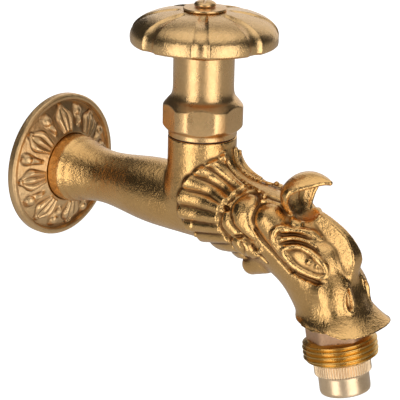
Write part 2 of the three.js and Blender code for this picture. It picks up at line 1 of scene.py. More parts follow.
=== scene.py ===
"""Looks of a cast brass garden tap with an animal-head spout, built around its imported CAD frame.

Pieces are shaped in millimetres in the frame's own axes (+X out of the wall, +Z up) and written in metres.
The casting is sculpted as signed distances on a grid, the turned pieces are outlines swept round their axes.
"""

import json
import math
from itertools import product

import bpy
import numpy as np
from mathutils import Matrix, Vector


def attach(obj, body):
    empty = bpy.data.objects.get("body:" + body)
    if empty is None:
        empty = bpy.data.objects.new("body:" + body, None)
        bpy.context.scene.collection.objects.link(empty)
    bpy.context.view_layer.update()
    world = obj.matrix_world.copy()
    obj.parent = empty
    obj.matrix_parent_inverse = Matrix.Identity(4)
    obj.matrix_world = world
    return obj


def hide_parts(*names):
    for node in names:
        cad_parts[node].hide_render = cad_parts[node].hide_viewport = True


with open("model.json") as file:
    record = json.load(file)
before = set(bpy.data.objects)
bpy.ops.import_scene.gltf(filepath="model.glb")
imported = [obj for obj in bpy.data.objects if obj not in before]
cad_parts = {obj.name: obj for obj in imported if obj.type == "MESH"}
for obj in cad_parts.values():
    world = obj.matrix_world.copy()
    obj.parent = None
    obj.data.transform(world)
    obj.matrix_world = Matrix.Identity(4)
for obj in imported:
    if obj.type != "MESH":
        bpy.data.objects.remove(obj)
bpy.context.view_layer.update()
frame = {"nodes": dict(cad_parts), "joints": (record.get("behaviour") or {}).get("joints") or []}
METRE = 0.001                     # one millimetre in metres
JOINTS = {joint["name"]: joint for joint in frame["joints"]}


# ---- places ----------------------------------------------------------------
def joint_place(name):
    """Where a joint's axis passes, in millimetres."""
    return np.array(JOINTS[name]["pos_m"], float) / METRE


class Place:
    """An origin and three axes, so that turned pieces are drawn upright about their own axis."""

    def __init__(self, origin, up, across):
        self.origin = np.array(origin, float)
        up = np.array(up, float)
        across = np.array(across, float)
        self.axes = np.array([np.cross(across, up), across, up])

    def world(self, points):
        return self.origin + points @ self.axes


VALVE_X = joint_place("wheel_turn")[0]
SPOUT_UP = -np.array(JOINTS["aerator_turn"]["axis"], float)
VALVE = Place((VALVE_X, 0, 0), (0, 0, 1), (0, 1, 0))
WALL = Place((0, 0, 0), (1, 0, 0), (0, 0, 1))
SPOUT = Place(joint_place("aerator_turn"), SPOUT_UP, (0, 1, 0))


# ---- curves ----------------------------------------------------------------
def smooth_line(points, per=6):
    """Points on a Catmull-Rom curve through rows of any number of columns."""
    p = np.array(points, float)
    if len(p) < 3:
        return p
    q = np.vstack([2 * p[0] - p[1], p, 2 * p[-1] - p[-2]])
    out = []
    for a, b, c, d in zip(q[:-3], q[1:-2], q[2:-1], q[3:]):
        for t in np.arange(per) / per:
            square = (2 * a - 5 * b + 4 * c - d) * t * t
            cube = (3 * b - a - 3 * c + d) * t ** 3
            out.append(0.5 * (2 * b + (c - a) * t + square + cube))
    out.append(p[-1])
    return np.array(out)


def profile(rows):
    """A smooth function through rows of place and value."""
    fine = smooth_line(rows, 8)
    return lambda v: np.interp(v, fine[:, 0], fine[:, 1])


def soft_min(a, b, k):
    """The smaller of two distances, rounded where they meet over a width k."""
    k = np.maximum(k, 1e-6)
    h = np.maximum(k - np.abs(a - b), 0) / k
    return np.minimum(a, b) - h * h * (k / 4)


def soft_max(a, b, k):
    return -soft_min(-a, -b, k)


def ramp(v, low, high):
    """A smooth step from 0 at low to 1 at high."""
    t = np.clip((v - low) / (high - low), 0, 1)
    return t * t * (3 - 2 * t)


def bump(t):
    """A smooth hump that is 1 at 0 and 0 beyond 1 on both sides."""
    return np.maximum(1 - t * t, 0) ** 2


def spread(values, count):
    """A few values, or one, spread evenly along a line of so many points."""
    values = np.atleast_1d(values)
    return np.interp(np.linspace(0, 1, count), np.linspace(0, 1, len(values)), values)


def blurred(values, axes, rounds):
    """An array smoothed along the given axes, each joined end to end."""
    for _ in range(rounds):
        for axis in axes:
            values = (np.roll(values, 1, axis) + 2 * values + np.roll(values, -1, axis)) / 4
    return values


# ---- clay: a solid held as signed distances --------------------------------
FAR = 30.0                        # the distance where there is no clay yet


class Clay:
    """Signed distances in millimetres on the -Y half of a grid. The solid is mirrored in Y = 0."""

    def __init__(self, axes):
        self.axis = [np.array(a, np.float32) for a in axes]
        self.d = np.full([len(a) for a in axes], FAR, np.float32)

    def copy(self):
        other = Clay(self.axis)
        other.d = self.d.copy()
        return other

    def block(self, low, high):
        """The part of the grid in a box: its slices, and its x, y and z to compute with."""
        cut = []
        for axis, a, b in zip(self.axis, low, high):
            first = max(int(np.searchsorted(axis, a)) - 1, 0)
            last = min(int(np.searchsorted(axis, b)) + 1, len(axis))
            cut.append(slice(first, max(last, first + 1)))
        x, y, z = (axis[c] for axis, c in zip(self.axis, cut))
        return tuple(cut), x[:, None, None], y[None, :, None], z[None, None, :]

    def add(self, shape, low, high, k=0.5):
        cut, x, y, z = self.block([v - k - 1 for v in low], [v + k + 1 for v in high])
        self.d[cut] = soft_min(self.d[cut], shape(x, y, z), k)

    def carve(self, shape, low, high, k=0.5):
        cut, x, y, z = self.block([v - k - 1 for v in low], [v + k + 1 for v in high])
        self.d[cut] = soft_max(self.d[cut], -shape(x, y, z), k)

    def sample(self, points):
        """Distances at any points, between the grid's own."""
        place = []
        for i, axis in enumerate(self.axis):
            v = -np.abs(points[:, i]) if i == 1 else points[:, i]
            place.append(np.clip(np.interp(v, axis, np.arange(len(axis))), 0, len(axis) - 1.001))
        whole = [p.astype(int) for p in place]
        part = [p - w for p, w in zip(place, whole)]
        total = 0
        for corner in product((0, 1), repeat=3):
            weight = 1
            for f, c in zip(part, corner):
                weight = weight * (f if c else 1 - f)
            total = total + weight * self.d[tuple(w + c for w, c in zip(whole, corner))]
        return total

    def normal(self, points):
        """Directions out of the clay at any points."""
        steps = 0.5 * np.eye(3)
        g = np.array([self.sample(points + step) - self.sample(points - step) for step in steps]).T
        return g / np.maximum(np.linalg.norm(g, axis=1), 1e-6)[:, None]

    def settle(self, points):
        """The given points moved onto the surface, and the surface's directions there."""
        p = np.array(points, float)
        for _ in range(8):
            p = p - 0.8 * self.sample(p)[:, None] * self.normal(p)
        return p, self.normal(p)


def stroke(points, radii):
    """Distance to a chain of round cones through 3-D points, and the box that it needs."""
    p = np.array(points, np.float32)
    r = np.array(radii, np.float32) * np.ones(len(p), np.float32)

    def shape(x, y, z):
        best = None
        for a, b, ra, rb in zip(p[:-1], p[1:], r[:-1], r[1:]):
            ab = b - a
            t = ((x - a[0]) * ab[0] + (y - a[1]) * ab[1] + (z - a[2]) * ab[2]) / max(float(ab @ ab), 1e-9)
            t = np.clip(t, 0, 1)
            away = [v - a[i] - ab[i] * t for i, v in enumerate((x, y, z))]
            d = np.sqrt(away[0] ** 2 + away[1] ** 2 + away[2] ** 2) - (ra + (rb - ra) * t)
            best = d if best is None else np.minimum(best, d)
        return best

    pad = float(r.max())
    return shape, p.min(0) - pad, p.max(0) + pad


def surface_net(d, axes):
    """A smooth quad mesh of the zero surface of the distances d."""
    inside = d < 0
    shape = np.array(d.shape) - 1
    total = np.zeros(shape, np.uint8)
    for corner in product((0, 1), repeat=3):
        total += inside[tuple(slice(c, n + c) for c, n in zip(corner, shape))]
    active = (total > 0) & (total < 8)
    cells = np.argwhere(active)
    number = np.full(active.shape, -1, np.int32)
    number[active] = np.arange(len(cells), dtype=np.int32)
    place = np.zeros((len(cells), 3), np.float32)
    hits = np.zeros(len(cells), np.float32)
    for axis in range(3):
        others = [n for n in range(3) if n != axis]
        for u, v in product((0, 1), repeat=2):
            a = np.zeros(3, int)
            a[others[0]] = u
            a[others[1]] = v
            b = a.copy()
            b[axis] = 1
            da = d[tuple((cells + a).T)]
            db = d[tuple((cells + b).T)]
            cross = (da < 0) != (db < 0)
            t = np.where(cross, da / np.where(cross, da - db, 1), 0)
            place += np.where(cross[:, None], a + t[:, None] * (b - a), 0)
            hits += cross
    where = cells + place / hits[:, None]
    verts = np.stack([np.interp(where[:, i], np.arange(len(a)), a) for i, a in enumerate(axes)], 1)
    faces = []
    for axis in range(3):
        u, v = [n for n in range(3) if n != axis]
        first = [slice(1, -1)] * 3
        second = [slice(1, -1)] * 3
        first[axis] = slice(0, -1)
        second[axis] = slice(1, None)
        sa = inside[tuple(first)]
        sb = inside[tuple(second)]
        for flip, mask in ((False, sa & ~sb), (True, ~sa & sb)):
            at = np.argwhere(mask)
            at[:, u] += 1
            at[:, v] += 1
            ring = []
            for du, dv in ((0, 0), (1, 0), (1, 1), (0, 1)):
                c = at.copy()
                c[:, u] -= du
                c[:, v] -= dv
                ring.append(number[tuple(c.T)])
            quad = np.stack(ring, 1)
            faces.append(quad[:, ::-1] if flip != (axis == 1) else quad)
    return verts, np.vstack(faces)


# ---- body casting ----------------------------------------------------------
FINE = 0.46                       # grid step on the head
COARSE = 2.2 * FINE               # grid step on the plain pipe
HEAD_START = 56.0                 # where the coarse step gives way to the fine one
GRID_X = (1.2, 150.5)
GRID_Y = -17.3
GRID_Z = (-34.0, 28.0)


def body_axes():
    """Stations of the casting's grid along X, Y and Z."""
    pipe = np.arange(GRID_X[0], HEAD_START, COARSE)
    head = np.arange(pipe[-1] + FINE, GRID_X[1], FINE)
    side = -np.arange(0, -GRID_Y, FINE)[::-1]
    tall = np.arange(*GRID_Z, FINE)
    return [np.concatenate([pipe, head]), side, tall]


PIPE_R = profile([(0, 12.6), (12.6, 12.3), (15, 11.7), (18, 10.95), (23.5, 10.15), (29, 10.05),
                  (35, 10.6), (41, 11.4), (46, 12), (52, 12.4), (60, 12.5), (80, 12.4)])
PIPE_START = 3.0
PIPE_END = 76.0


def pipe_shape(x, y, z):
    slope = 1.04                  # evens out the distances where the pipe widens
    side = (np.sqrt(y * y + z * z) - PIPE_R(x)) / slope
    return np.maximum(np.maximum(side, PIPE_START - x), x - PIPE_END)


COLLAR_X = 7.45
COLLAR_R = 13.0
COLLAR_HALF = 4.75


def collar_shape(x, y, z):
    """A disc with rounded edges."""
    edge = 0.7
    out = np.sqrt(y * y + z * z) - (COLLAR_R - edge)
    wide = np.abs(x - COLLAR_X) - (COLLAR_HALF - edge)
    return np.minimum(np.maximum(out, wide), 0) + np.hypot(np.maximum(out, 0), np.maximum(wide, 0)) - edge


# rows of the head's spine: x, z, half width, height above, height below, squareness
HEAD = [
    (64, 0, 11.5, 11.5, 11.8, 2.0),
    (74, 0.5, 12.2, 11.2, 12.6, 2.0),
    (84, 1.5, 12.8, 11.0, 14.2, 2.1),
    (94, 1.5, 13.1, 11.2, 15.4, 2.1),
    (104, -0.5, 12.7, 11.8, 15.2, 2.1),
    (113, -4.5, 12.2, 13.0, 14.6, 2.1),
    (120.5, -10.5, 11.9, 13.2, 13.6, 2.1),
    (126, -18, 11.6, 12.4, 12.8, 2.1),
    (129.5, -25, 11.8, 12.0, 12.4, 2.05),
    (131.8, -31, 12.2, 12.6, 12.6, 2.0),
]


def by_spine(line, x, z):
    """For a line in the plane Y = 0 and a grid of x and z: the number of the line's nearest point, its
    distance to the next one, and how far each place lies along the line from it and above the line."""
    tx, tz = np.gradient(line[:, 0]), np.gradient(line[:, 1])
    gap = np.hypot(tx, tz)
    tx, tz = tx / gap, tz / gap
    gx, gz = np.meshgrid(x[:, 0, 0], z[0, 0, :], indexing="ij")
    near = ((gx[..., None] - line[:, 0]) ** 2 + (gz[..., None] - line[:, 1]) ** 2).argmin(-1)
    ox, oz = gx - line[near, 0], gz - line[near, 1]
    return near, gap[near], ox * tx[near] + oz * tz[near], -ox * tz[near] + oz * tx[near]


def bar(stations):
    """A bent bar whose oval sections follow a spine in the plane Y = 0."""
    fine = smooth_line(stations, 10)
    last = len(fine) - 1

    def shape(x, y, z):
        near, gap, along, up = by_spine(fine, x, z)
        pos = np.clip(near + along / gap, 0, last)
        wide, top, low, power = (np.interp(pos, np.arange(last + 1), fine[:, c]) for c in (2, 3, 4, 5))
        tall = np.where(up > 0, top, low)
        beyond = np.where((near == 0) & (along < 0), -along, np.where((near == last) & (along > 0), along, 0))
        wide, tall, up, power, beyond = (v[:, None, :] for v in (wide, tall, up, power, beyond))
        size = ((np.abs(y) / wide) ** power + (np.abs(up) / tall) ** power) ** (1 / power)
        d = np.hypot(y, up) * (1 - 1 / np.maximum(size, 1e-3))
        d = np.where(size < 0.05, -np.minimum(wide, tall), d)
        return np.where(beyond > 0, np.hypot(np.maximum(d, 0), beyond), d)

    return shape


BOSS_TOP = 26.0
BOSS_R = profile([(-10, 12.2), (-4, 12.9), (2, 13.2), (8, 13.0), (14, 12.55), (20, 12.45), (30, 12.45)])
BELLY_Z = 4.0                     # the boss ends below this height in a slightly flattened ball
BELLY_R = 13.2


def boss_shape(x, y, z):
    """The upright boss of the valve, rounded under its belly."""
    side = np.hypot(x - VALVE_X, y) - BOSS_R(z)
    ball = np.sqrt((x - VALVE_X) ** 2 + y * y + 1.15 * (z - BELLY_Z) ** 2) - BELLY_R
    return soft_max(np.where(z < BELLY_Z, ball, side), z - BOSS_TOP, 0.5)


LIP_Z = -28.0
LIP_TALL = 13.0
# outline of the muzzle over the rim, by height above it: front and back along X, and half width
LIP_FRONT = profile([(-4, 149.0), (0, 149.6), (0.9, 148.7), (3.5, 144.9), (6.4, 141.8), (9.2, 139.6),
                     (12, 137.6), (16, 136)])
LIP_BACK = profile([(-4, 119.4), (0, 119.3), (0.9, 119.9), (2.4, 121.3), (5, 121.9), (9, 121), (16, 117)])
LIP_HALF = profile([(-4, 15.2), (0, 15.5), (0.8, 14.8), (2.2, 13.6), (4.5, 12.4), (8, 11.5), (16, 10.5)])


def lip_floor(x, y):
    """Height of the rim, which hangs a little at the front corners and at the sides."""
    droop = 0.7 * bump((x - 143) / 7) + 0.7 * bump((x - 131) / 7)
    return LIP_Z - droop * bump((np.abs(y) - 14) / 6)


def lip_shape(x, y, z):
    """The muzzle's flare over the rim, a rounded square that turns round higher up."""
    height = z - lip_floor(x, y)
    front, back, half = LIP_FRONT(height), LIP_BACK(height), LIP_HALF(height)
    middle, reach = (front + back) / 2, (front - back) / 2
    power = 2.15 + 0.5 * ramp(8 - height, 0, 8)
    size = ((np.abs(x - middle) / reach) ** power + (np.abs(y) / half) ** power) ** (1 / power)
    outer = np.hypot(x - middle, y) * (1 - 1 / np.maximum(size, 1e-3)) * 0.8
    return soft_max(soft_max(outer, -height, 0.35), height - LIP_TALL, 2.5)


def below_lip(x, y, z):
    """All that lies below the rim."""
    return z - lip_floor(x, y)


SEAT_R = 11.5
SEAT_HEIGHT = 12.7                # height of the nipple's seat over the joint's own point
SEAT_TOP = 22.0
MOUTH_R = 12.0


def about_spout(x, y, z):
    """Radius about the spout's leaning axis, and height along it."""
    ox, oz = x - SPOUT.origin[0], z - SPOUT.origin[2]
    up = SPOUT.axes[2]
    height = ox * up[0] + oz * up[2]
    return np.hypot(ox * up[2] - oz * up[0], y), height


def seat_shape(x, y, z):
    """The solid ground that the nipple is screwed into."""
    r, height = about_spout(x, y, z)
    return soft_max(np.maximum(r - SEAT_R, SEAT_HEIGHT - height), height - SEAT_TOP, 0.3)


def mouth_shape(x, y, z):
    """The hollow of the mouth, opening towards the rim, that the nipple hangs out of."""
    r, height = about_spout(x, y, z)
    wide = MOUTH_R + 1.05 * np.maximum(12.0 - height, 0)
    return np.maximum((r - wide) * 0.7, height - SEAT_HEIGHT)


def base_body():
    """The casting without its ornament: pipe and collar, then head, boss, lip and mouth."""
    clay = Clay(body_axes())
    clay.add(pipe_shape, (3, -14, -14), (76, 0, 14), 0)
    clay.add(collar_shape, (2, -14, -14), (12, 0, 14), 0.8)
    head = Clay(clay.axis)
    head.add(bar(HEAD), (60, -18, -36), (150, 0, 29), 0)
    cut, x, y, z = head.block((50, -17, -20), (108, 0, 28))
    saddle = 3.0 + 10.5 * ramp(x, VALVE_X, VALVE_X + 9) * ramp(z, 0, 9) * ramp(y, -11.5, -4.5)
    head.d[cut] = soft_min(head.d[cut], boss_shape(x, y, z), saddle)
    head.add(lip_shape, (112, -18, -34), (150, 0, -14), 2.5)
    head.carve(below_lip, (112, -18, -34), (150, 0, -24), 0.4)
    head.add(seat_shape, (115, -14, -34), (150, 0, -18), 0.2)
    head.carve(mouth_shape, (115, -18, -36), (150, 0, -22), 0.3)
    clay.d = soft_min(clay.d, head.d, 0.7)
    return clay


# ---- the head's ornament: lines over the casting, settled on the base ----
def settled(base, points, radii):
    """A smooth line moved onto the base, the directions out of the base, and the radii along the line."""
    line = smooth_line(points, 4)
    on, out = base.settle(line)
    return on, out, spread(radii, len(line))


def ridge(clay, base, points, radii, proud, k=0.4):
    """A raised rib, so much proud of the base."""
    on, out, r = settled(base, points, radii)
    clay.add(*stroke(on + out * (proud - r)[:, None], r), k)


def groove(clay, base, points, radii, depth, k=0.4):
    """A cut line, so deep in the base."""
    on, out, r = settled(base, points, radii)
    clay.carve(*stroke(on + out * (r - depth)[:, None], r), k)


def swelling(clay, base, centre, radius, height, sunk, k):
    """A flattened ball, its middle sunk a little into the base."""
    on, out = base.settle([centre])
    n = out[0]
    c = on[0] - n * sunk

    def shape(x, y, z):
        ox, oy, oz = x - c[0], y - c[1], z - c[2]
        square = ox * ox + oy * oy + oz * oz
        up = ox * n[0] + oy * n[1] + oz * n[2]
        size = np.sqrt(np.maximum(square - up * up, 0) / radius ** 2 + (up / height) ** 2)
        return np.sqrt(square) * (1 - 1 / np.maximum(size, 1e-3))

    clay.add(shape, c - radius, c + radius, k)


class Relief:
    """Heights to add to the flanks, drawn on the plane X-Z in millimetres."""

    GAP = 0.2
    LOW = (66.0, -33.0)
    HIGH = (150.0, 25.0)

    def __init__(self):
        self.x = np.arange(self.LOW[0], self.HIGH[0], self.GAP)
        self.z = np.arange(self.LOW[1], self.HIGH[1], self.GAP)
        self.h = np.zeros((len(self.x), len(self.z)))

    def window(self, low, high):
        """The part of the plane in a rectangle: its slices, and its x and z to compute with."""
        cut = []
        for axis, a, b in zip((self.x, self.z), low, high):
            cut.append(slice(max(int(np.searchsorted(axis, a)) - 1, 0), int(np.searchsorted(axis, b)) + 1))
        return tuple(cut), self.x[cut[0]][:, None], self.z[cut[1]][None, :]

    def line(self, points, half, tall, flat=2.0, raised=True):
        """A ridge (or, when not raised, a groove) along a line, with half widths and heights along it."""
        line = smooth_line(points, 5)
        half = spread(half, len(line))
        tall = spread(tall, len(line))
        pad = half.max()
        cut, x, z = self.window(line.min(0) - pad, line.max(0) + pad)
        best = np.zeros((x.shape[0], z.shape[1]))
        for a, b, wa, wb, ha, hb in zip(line[:-1], line[1:], half[:-1], half[1:], tall[:-1], tall[1:]):
            ab = b - a
            t = np.clip(((x - a[0]) * ab[0] + (z - a[1]) * ab[1]) / max(float(ab @ ab), 1e-9), 0, 1)
            away = np.hypot(x - a[0] - ab[0] * t, z - a[1] - ab[1] * t) / (wa + (wb - wa) * t)
            top = (ha + (hb - ha) * t) * np.sqrt(np.maximum(1 - away ** flat, 0))
            best = np.maximum(best, top)
        self.h[cut] = np.maximum(self.h[cut], best) if raised else self.h[cut] - best

    def dome(self, centre, radii, tall, turn=0.0, flat=2.4, raised=True):
        """An oval swelling or hollow, turned from +X towards +Z by degrees."""
        reach = max(radii)
        cut, x, z = self.window(np.array(centre) - reach, np.array(centre) + reach)
        c, t = math.cos(math.radians(turn)), math.sin(math.radians(turn))
        along = ((x - centre[0]) * c + (z - centre[1]) * t) / radii[0]
        across = ((z - centre[1]) * c - (x - centre[0]) * t) / radii[1]
        top = tall * np.sqrt(np.maximum(1 - np.hypot(along, across) ** flat, 0))
        self.h[cut] = np.maximum(self.h[cut], top) if raised else self.h[cut] - top

    def at(self, x, z):
        """Heights at any places, between the plane's own."""
        px = np.clip((x - self.LOW[0]) / self.GAP, 0, len(self.x) - 1.001)
        pz = np.clip((z - self.LOW[1]) / self.GAP, 0, len(self.z) - 1.001)
        i, j = px.astype(int), pz.astype(int)
        f, g = px - i, pz - j
        low = self.h[i, j] * (1 - g) + self.h[i, j + 1] * g
        high = self.h[i + 1, j] * (1 - g) + self.h[i + 1, j + 1] * g
        return low * (1 - f) + high * f


def lift(clay, relief, low, high):
    """The flank pushed out by the relief, looked up at the nearest point of the surface.

    The relief fades where the surface turns away from the side."""
    cut, x, y, z = clay.block(low, high)
    d = clay.d[cut]
    gx, gy, gz = np.gradient(d, x.ravel(), y.ravel(), z.ravel())
    size = np.maximum(np.sqrt(gx * gx + gy * gy + gz * gz), 0.3)
    reach = 4.0
    near = np.abs(d) < reach
    fx = (x - d * gx / size)[near]
    fz = (z - d * gz / size)[near]
    facing = (-gy / size)[near]
    d[near] -= relief.at(fx, fz) * ramp(facing, 0.14, 0.42)
    clay.d[cut] = d


# ribs of the fan from tip to root, seen from the side: x, z
FAN_RIBS = [
    [(83.6, 22.6), (87.2, 17.4), (91.9, 14.5), (96.0, 13.3), (99.6, 12.9)],
    [(80.3, 19.9), (86.0, 15.2), (91.7, 12.5), (96.4, 11.4)],
    [(77.1, 17.2), (83.0, 13.9), (88.8, 11.3), (94.2, 9.7)],
    [(73.2, 12.4), (80.4, 10.7), (87.3, 8.8), (93.0, 7.2)],
    [(70.9, 6.0), (77.9, 6.1), (84.9, 5.7), (91.0, 5.1)],
    [(71.2, 0.2), (77.9, 0.5), (84.2, 1.0), (90.0, 1.8)],
    [(73.6, -4.9), (79.0, -4.0), (84.6, -3.1), (90.4, -2.0)],
    [(76.9, -9.2), (82.6, -7.5), (88.0, -6.2), (93.4, -5.0)],
    [(81.4, -12.4), (86.0, -11.0), (91.0, -9.4), (95.4, -8.0)],
    [(85.4, -14.6), (90.0, -13.6), (94.4, -12.4), (97.4, -11.2)],
]
FAN_LONG = 20.0                   # about the length of a rib
FAN_POINTS = 12                   # points that each rib is resampled to


def fan_height(rib, along):
    """Height of the fan over the flank, by rib number and by distance from the tips."""
    off = np.abs(rib - np.round(rib))
    plate = 1 - (off / 0.5) ** 2.2
    tip = 0.8 * (1 - np.sqrt(np.maximum(1 - (off / 0.5) ** 2, 0)))
    start = ramp(along - tip, -0.3, 0.7)
    tall = 1.5 - 0.035 * along
    inside = (rib > -0.46) & (rib < len(FAN_RIBS) - 0.54)
    end = ramp(FAN_LONG + 0.6 - along, 0.0, 1.2)
    return np.where(inside, (0.5 + tall * plate) * start * end, 0)


def draw_fan(relief):
    """The shell-like fan: plates that run from a scalloped edge to the scroll."""
    ribs = []
    for rib in FAN_RIBS:
        line = smooth_line(rib, 8)
        points = np.stack([spread(column, FAN_POINTS) for column in line.T], 1)
        before = points[0] - (points[1] - points[0])
        ribs.append(np.vstack([before, points]).ravel())
    ribs = [2 * ribs[0] - ribs[1]] + ribs + [2 * ribs[-1] - ribs[-2]]
    per_rib, per_step = 48, 12
    sheet = smooth_line(ribs, per_rib)
    rib = (np.arange(len(sheet)) / per_rib - 1)[:, None]
    lines = sheet.reshape(len(sheet), -1, 2).transpose(1, 0, 2).reshape(-1, len(sheet) * 2)
    sheet = smooth_line(lines, per_step).reshape(-1, len(sheet), 2)
    along = (np.arange(len(sheet)) / per_step - 1)[:, None] * FAN_LONG / (FAN_POINTS - 1)
    height = fan_height(rib.T, along)
    i = np.round((sheet[..., 0] - relief.LOW[0]) / relief.GAP).astype(int).ravel()
    j = np.round((sheet[..., 1] - relief.LOW[1]) / relief.GAP).astype(int).ravel()
    fits = (i >= 0) & (j >= 0) & (i < len(relief.x)) & (j < len(relief.z))
    total = np.zeros_like(relief.h)
    count = np.zeros_like(relief.h)
    np.add.at(total, (i[fits], j[fits]), height.ravel()[fits])
    np.add.at(count, (i[fits], j[fits]), 1)
    relief.h = np.maximum(relief.h, total / np.maximum(count, 1))


def draw_scrolls(relief):
    """The lobes between the fan and the cheek."""
    relief.line([(91.2, 7.4), (90.0, 3.4), (91.0, -1.4), (94.6, -5.4)],
                [1.0, 1.2, 1.2, 1.0], 0.9, raised=False)
    relief.line([(92.7, 4.0), (93.6, 1.2), (96.6, -1.4), (99.4, -2.2)],
                [1.6, 2.7, 2.3, 1.4], [1.3, 2.0, 1.7, 1.0], 2.6)
    relief.line([(92.0, 7.8), (94.6, 11.4), (98.6, 12.0), (102.0, 10.4)],
                [0.8, 1.1, 1.0, 0.8], 1.1, raised=False)
    relief.dome((99.0, 6.4), (4.7, 4.5), 2.4, -30, 3.0)
    relief.line([(99.6, 4.0), (101.6, 1.6), (104.0, -1.0)], [4.0, 3.0, 1.8], [2.2, 1.7, 0.9], 3.0)
    relief.dome((91.7, 5.9), (1.5, 1.0), 1.8, -20, raised=False)
    relief.dome((99.2, -6.4), (4.9, 3.3), 2.2, -22, 2.6)
    relief.line([(96.6, -2.6), (98.6, -2.4), (101.2, -1.8)], [0.5, 0.9, 0.5], [0.8, 1.5, 0.8], raised=False)
    relief.line([(99.2, -4.0), (100.6, -6.0), (100.4, -8.6)], [0.5, 0.8, 0.6], [0.9, 0.7, 0.4], raised=False)
    relief.line([(102.6, -9.6), (104.6, -8.0), (106.6, -6.2)], [0.9, 1.3, 0.9], 1.2)
    relief.line([(103.4, -5.0), (105.4, -7.2), (109.0, -10.4)], [0.6, 0.8, 0.5], 1.0, raised=False)


def draw_eye(relief):
    """The long eye in its hollow, between a pair of lids."""
    relief.line([(119.0, -3.6), (122.6, -4.6), (126.4, -6.2), (130.4, -8.0)],
                [1.4, 2.6, 2.5, 1.2], [0.7, 1.1, 1.0, 0.5], 3.0, raised=False)
    relief.line([(117.6, -2.4), (119.4, -1.7), (122.4, -1.6), (126.0, -3.0), (129.4, -4.8), (131.4, -6.6),
                 (132.1, -8.4)],
                [0.9, 1.1, 1.0, 1.0, 1.0, 0.9, 0.6], [0.6, 1.2, 1.2, 1.1, 1.1, 0.9, 0.5])
    relief.line([(116.6, -3.0), (117.8, -5.2), (120.2, -7.6), (124.2, -9.3), (128.8, -10.3), (131.6, -10.0),
                 (132.3, -8.8)],
                [0.7, 1.3, 1.3, 1.0, 0.9, 0.8, 0.6], [0.5, 1.0, 1.1, 0.9, 0.9, 0.8, 0.6], 2.2)
    relief.line([(117.6, -8.4), (120.4, -10.6), (124.6, -11.7), (129.6, -12.2), (133.0, -11.6)],
                [0.5, 0.8, 0.9, 0.8, 0.4], [0.5, 1.1, 1.2, 1.1, 0.3], raised=False)
    relief.dome((126.0, -5.9), (1.3, 1.2), 0.7)
    relief.dome((128.9, -7.0), (0.9, 0.8), 0.4)


def draw_brows(relief):
    """The ridges and grooves over the eye."""
    relief.line([(114.4, -3.6), (113.0, -0.8), (112.9, 2.2), (114.2, 4.0), (117.2, 3.2), (120.2, 3.2),
                 (123.4, 2.5), (126.8, 0.8)],
                [0.6, 0.9, 1.1, 1.1, 1.0, 1.0, 0.9, 0.5], [0.3, 0.9, 1.2, 1.2, 1.1, 1.1, 1.0, 0.3])
    relief.line([(115.2, 0.2), (117.4, 0.9), (120.4, 0.9), (123.9, 0.2)],
                [0.6, 0.9, 0.9, 0.5], [0.5, 1.1, 1.0, 0.3])
    relief.line([(114.8, 2.0), (117.6, 2.0), (120.6, 2.0), (124.4, 1.1)],
                [0.5, 0.7, 0.7, 0.4], [0.6, 0.9, 0.8, 0.3], raised=False)
    relief.line([(115.4, -1.2), (118.2, -0.4), (121.4, -0.3), (125.4, -1.3), (129.4, -3.2)],
                [0.5, 0.7, 0.7, 0.6, 0.4], [0.5, 0.8, 0.9, 0.7, 0.3], raised=False)
    relief.dome((117.6, 5.4), (2.7, 1.3), 1.1, -30, 2.0)


def nostril(clay):
    """A long hollow with a raised edge round it, on each side of the nose."""
    solid = clay.copy()
    edge = [(137.6, -4.6, -12.6), (139.0, -4.4, -15.4), (141.0, -4.5, -18.4), (142.4, -5.4, -20.8),
            (141.4, -6.8, -21.4), (139.4, -7.3, -19.6), (137.9, -6.8, -16.8), (137.2, -5.6, -14.4)]
    ridge(clay, solid, edge, [0.4, 0.6, 0.6, 0.7, 0.7, 0.7, 0.6, 0.4], 0.45, 0.5)
    hollow = [(138.0, -5.1, -14.4), (139.3, -5.7, -17.0), (141.0, -6.0, -19.6)]
    groove(clay, solid, hollow, [0.5, 1.2, 1.1], 1.1)


def cheek(clay, base):
    """The rolled jowl behind the eye, and the line over it."""
    roll = smooth_line([(107.6, -8.0, 4.4), (112.0, -8.4, 0.6), (116.4, -8.2, -4.2), (120.0, -7.0, -9.0)], 4)
    clay.add(*stroke(roll, np.linspace(5.7, 4.4, len(roll))), 0.5)
    under = [(103.0, -12.4, 2.4), (108.4, -12.5, -2.4), (114.6, -12.1, -7.0), (119.6, -11.9, -11.0)]
    groove(clay, base, under, [0.8, 0.9, 0.8, 0.5], 0.9)
    ridge(clay, base, [(103.4, -7.6, 10.6), (107.6, -6.4, 10.4), (112.0, -5.2, 9.6)], [0.7, 1.0, 0.8], 1.1)
    groove(clay, base, [(102.4, -4.6, 12.2), (106.0, -4.2, 11.8), (110.4, -3.4, 11.2)], [0.6, 0.9, 0.8], 0.8)


def neck_line(clay, base):
    """The fine raised edge above the fan, and the two beads at its end."""
    edge = [(84.8, -3.6, 22.8), (88.4, -2.7, 17.9), (93.0, -3.2, 15.2), (97.4, -3.8, 14.0),
            (99.6, -4.4, 13.4)]
    ridge(clay, base, edge, [0.6, 0.5, 0.5, 0.5, 0.5], 1.25)
    radius, sunk = 0.9, 0.6
    for x, y, z in ((100.6, -5.4, 13.2), (103.2, -6.0, 12.0)):
        ends = np.array([(x, y, z), (x + 0.2, y, z - 0.1)])
        clay.add(*stroke(ends - base.normal(ends) * sunk, radius), 0.3)


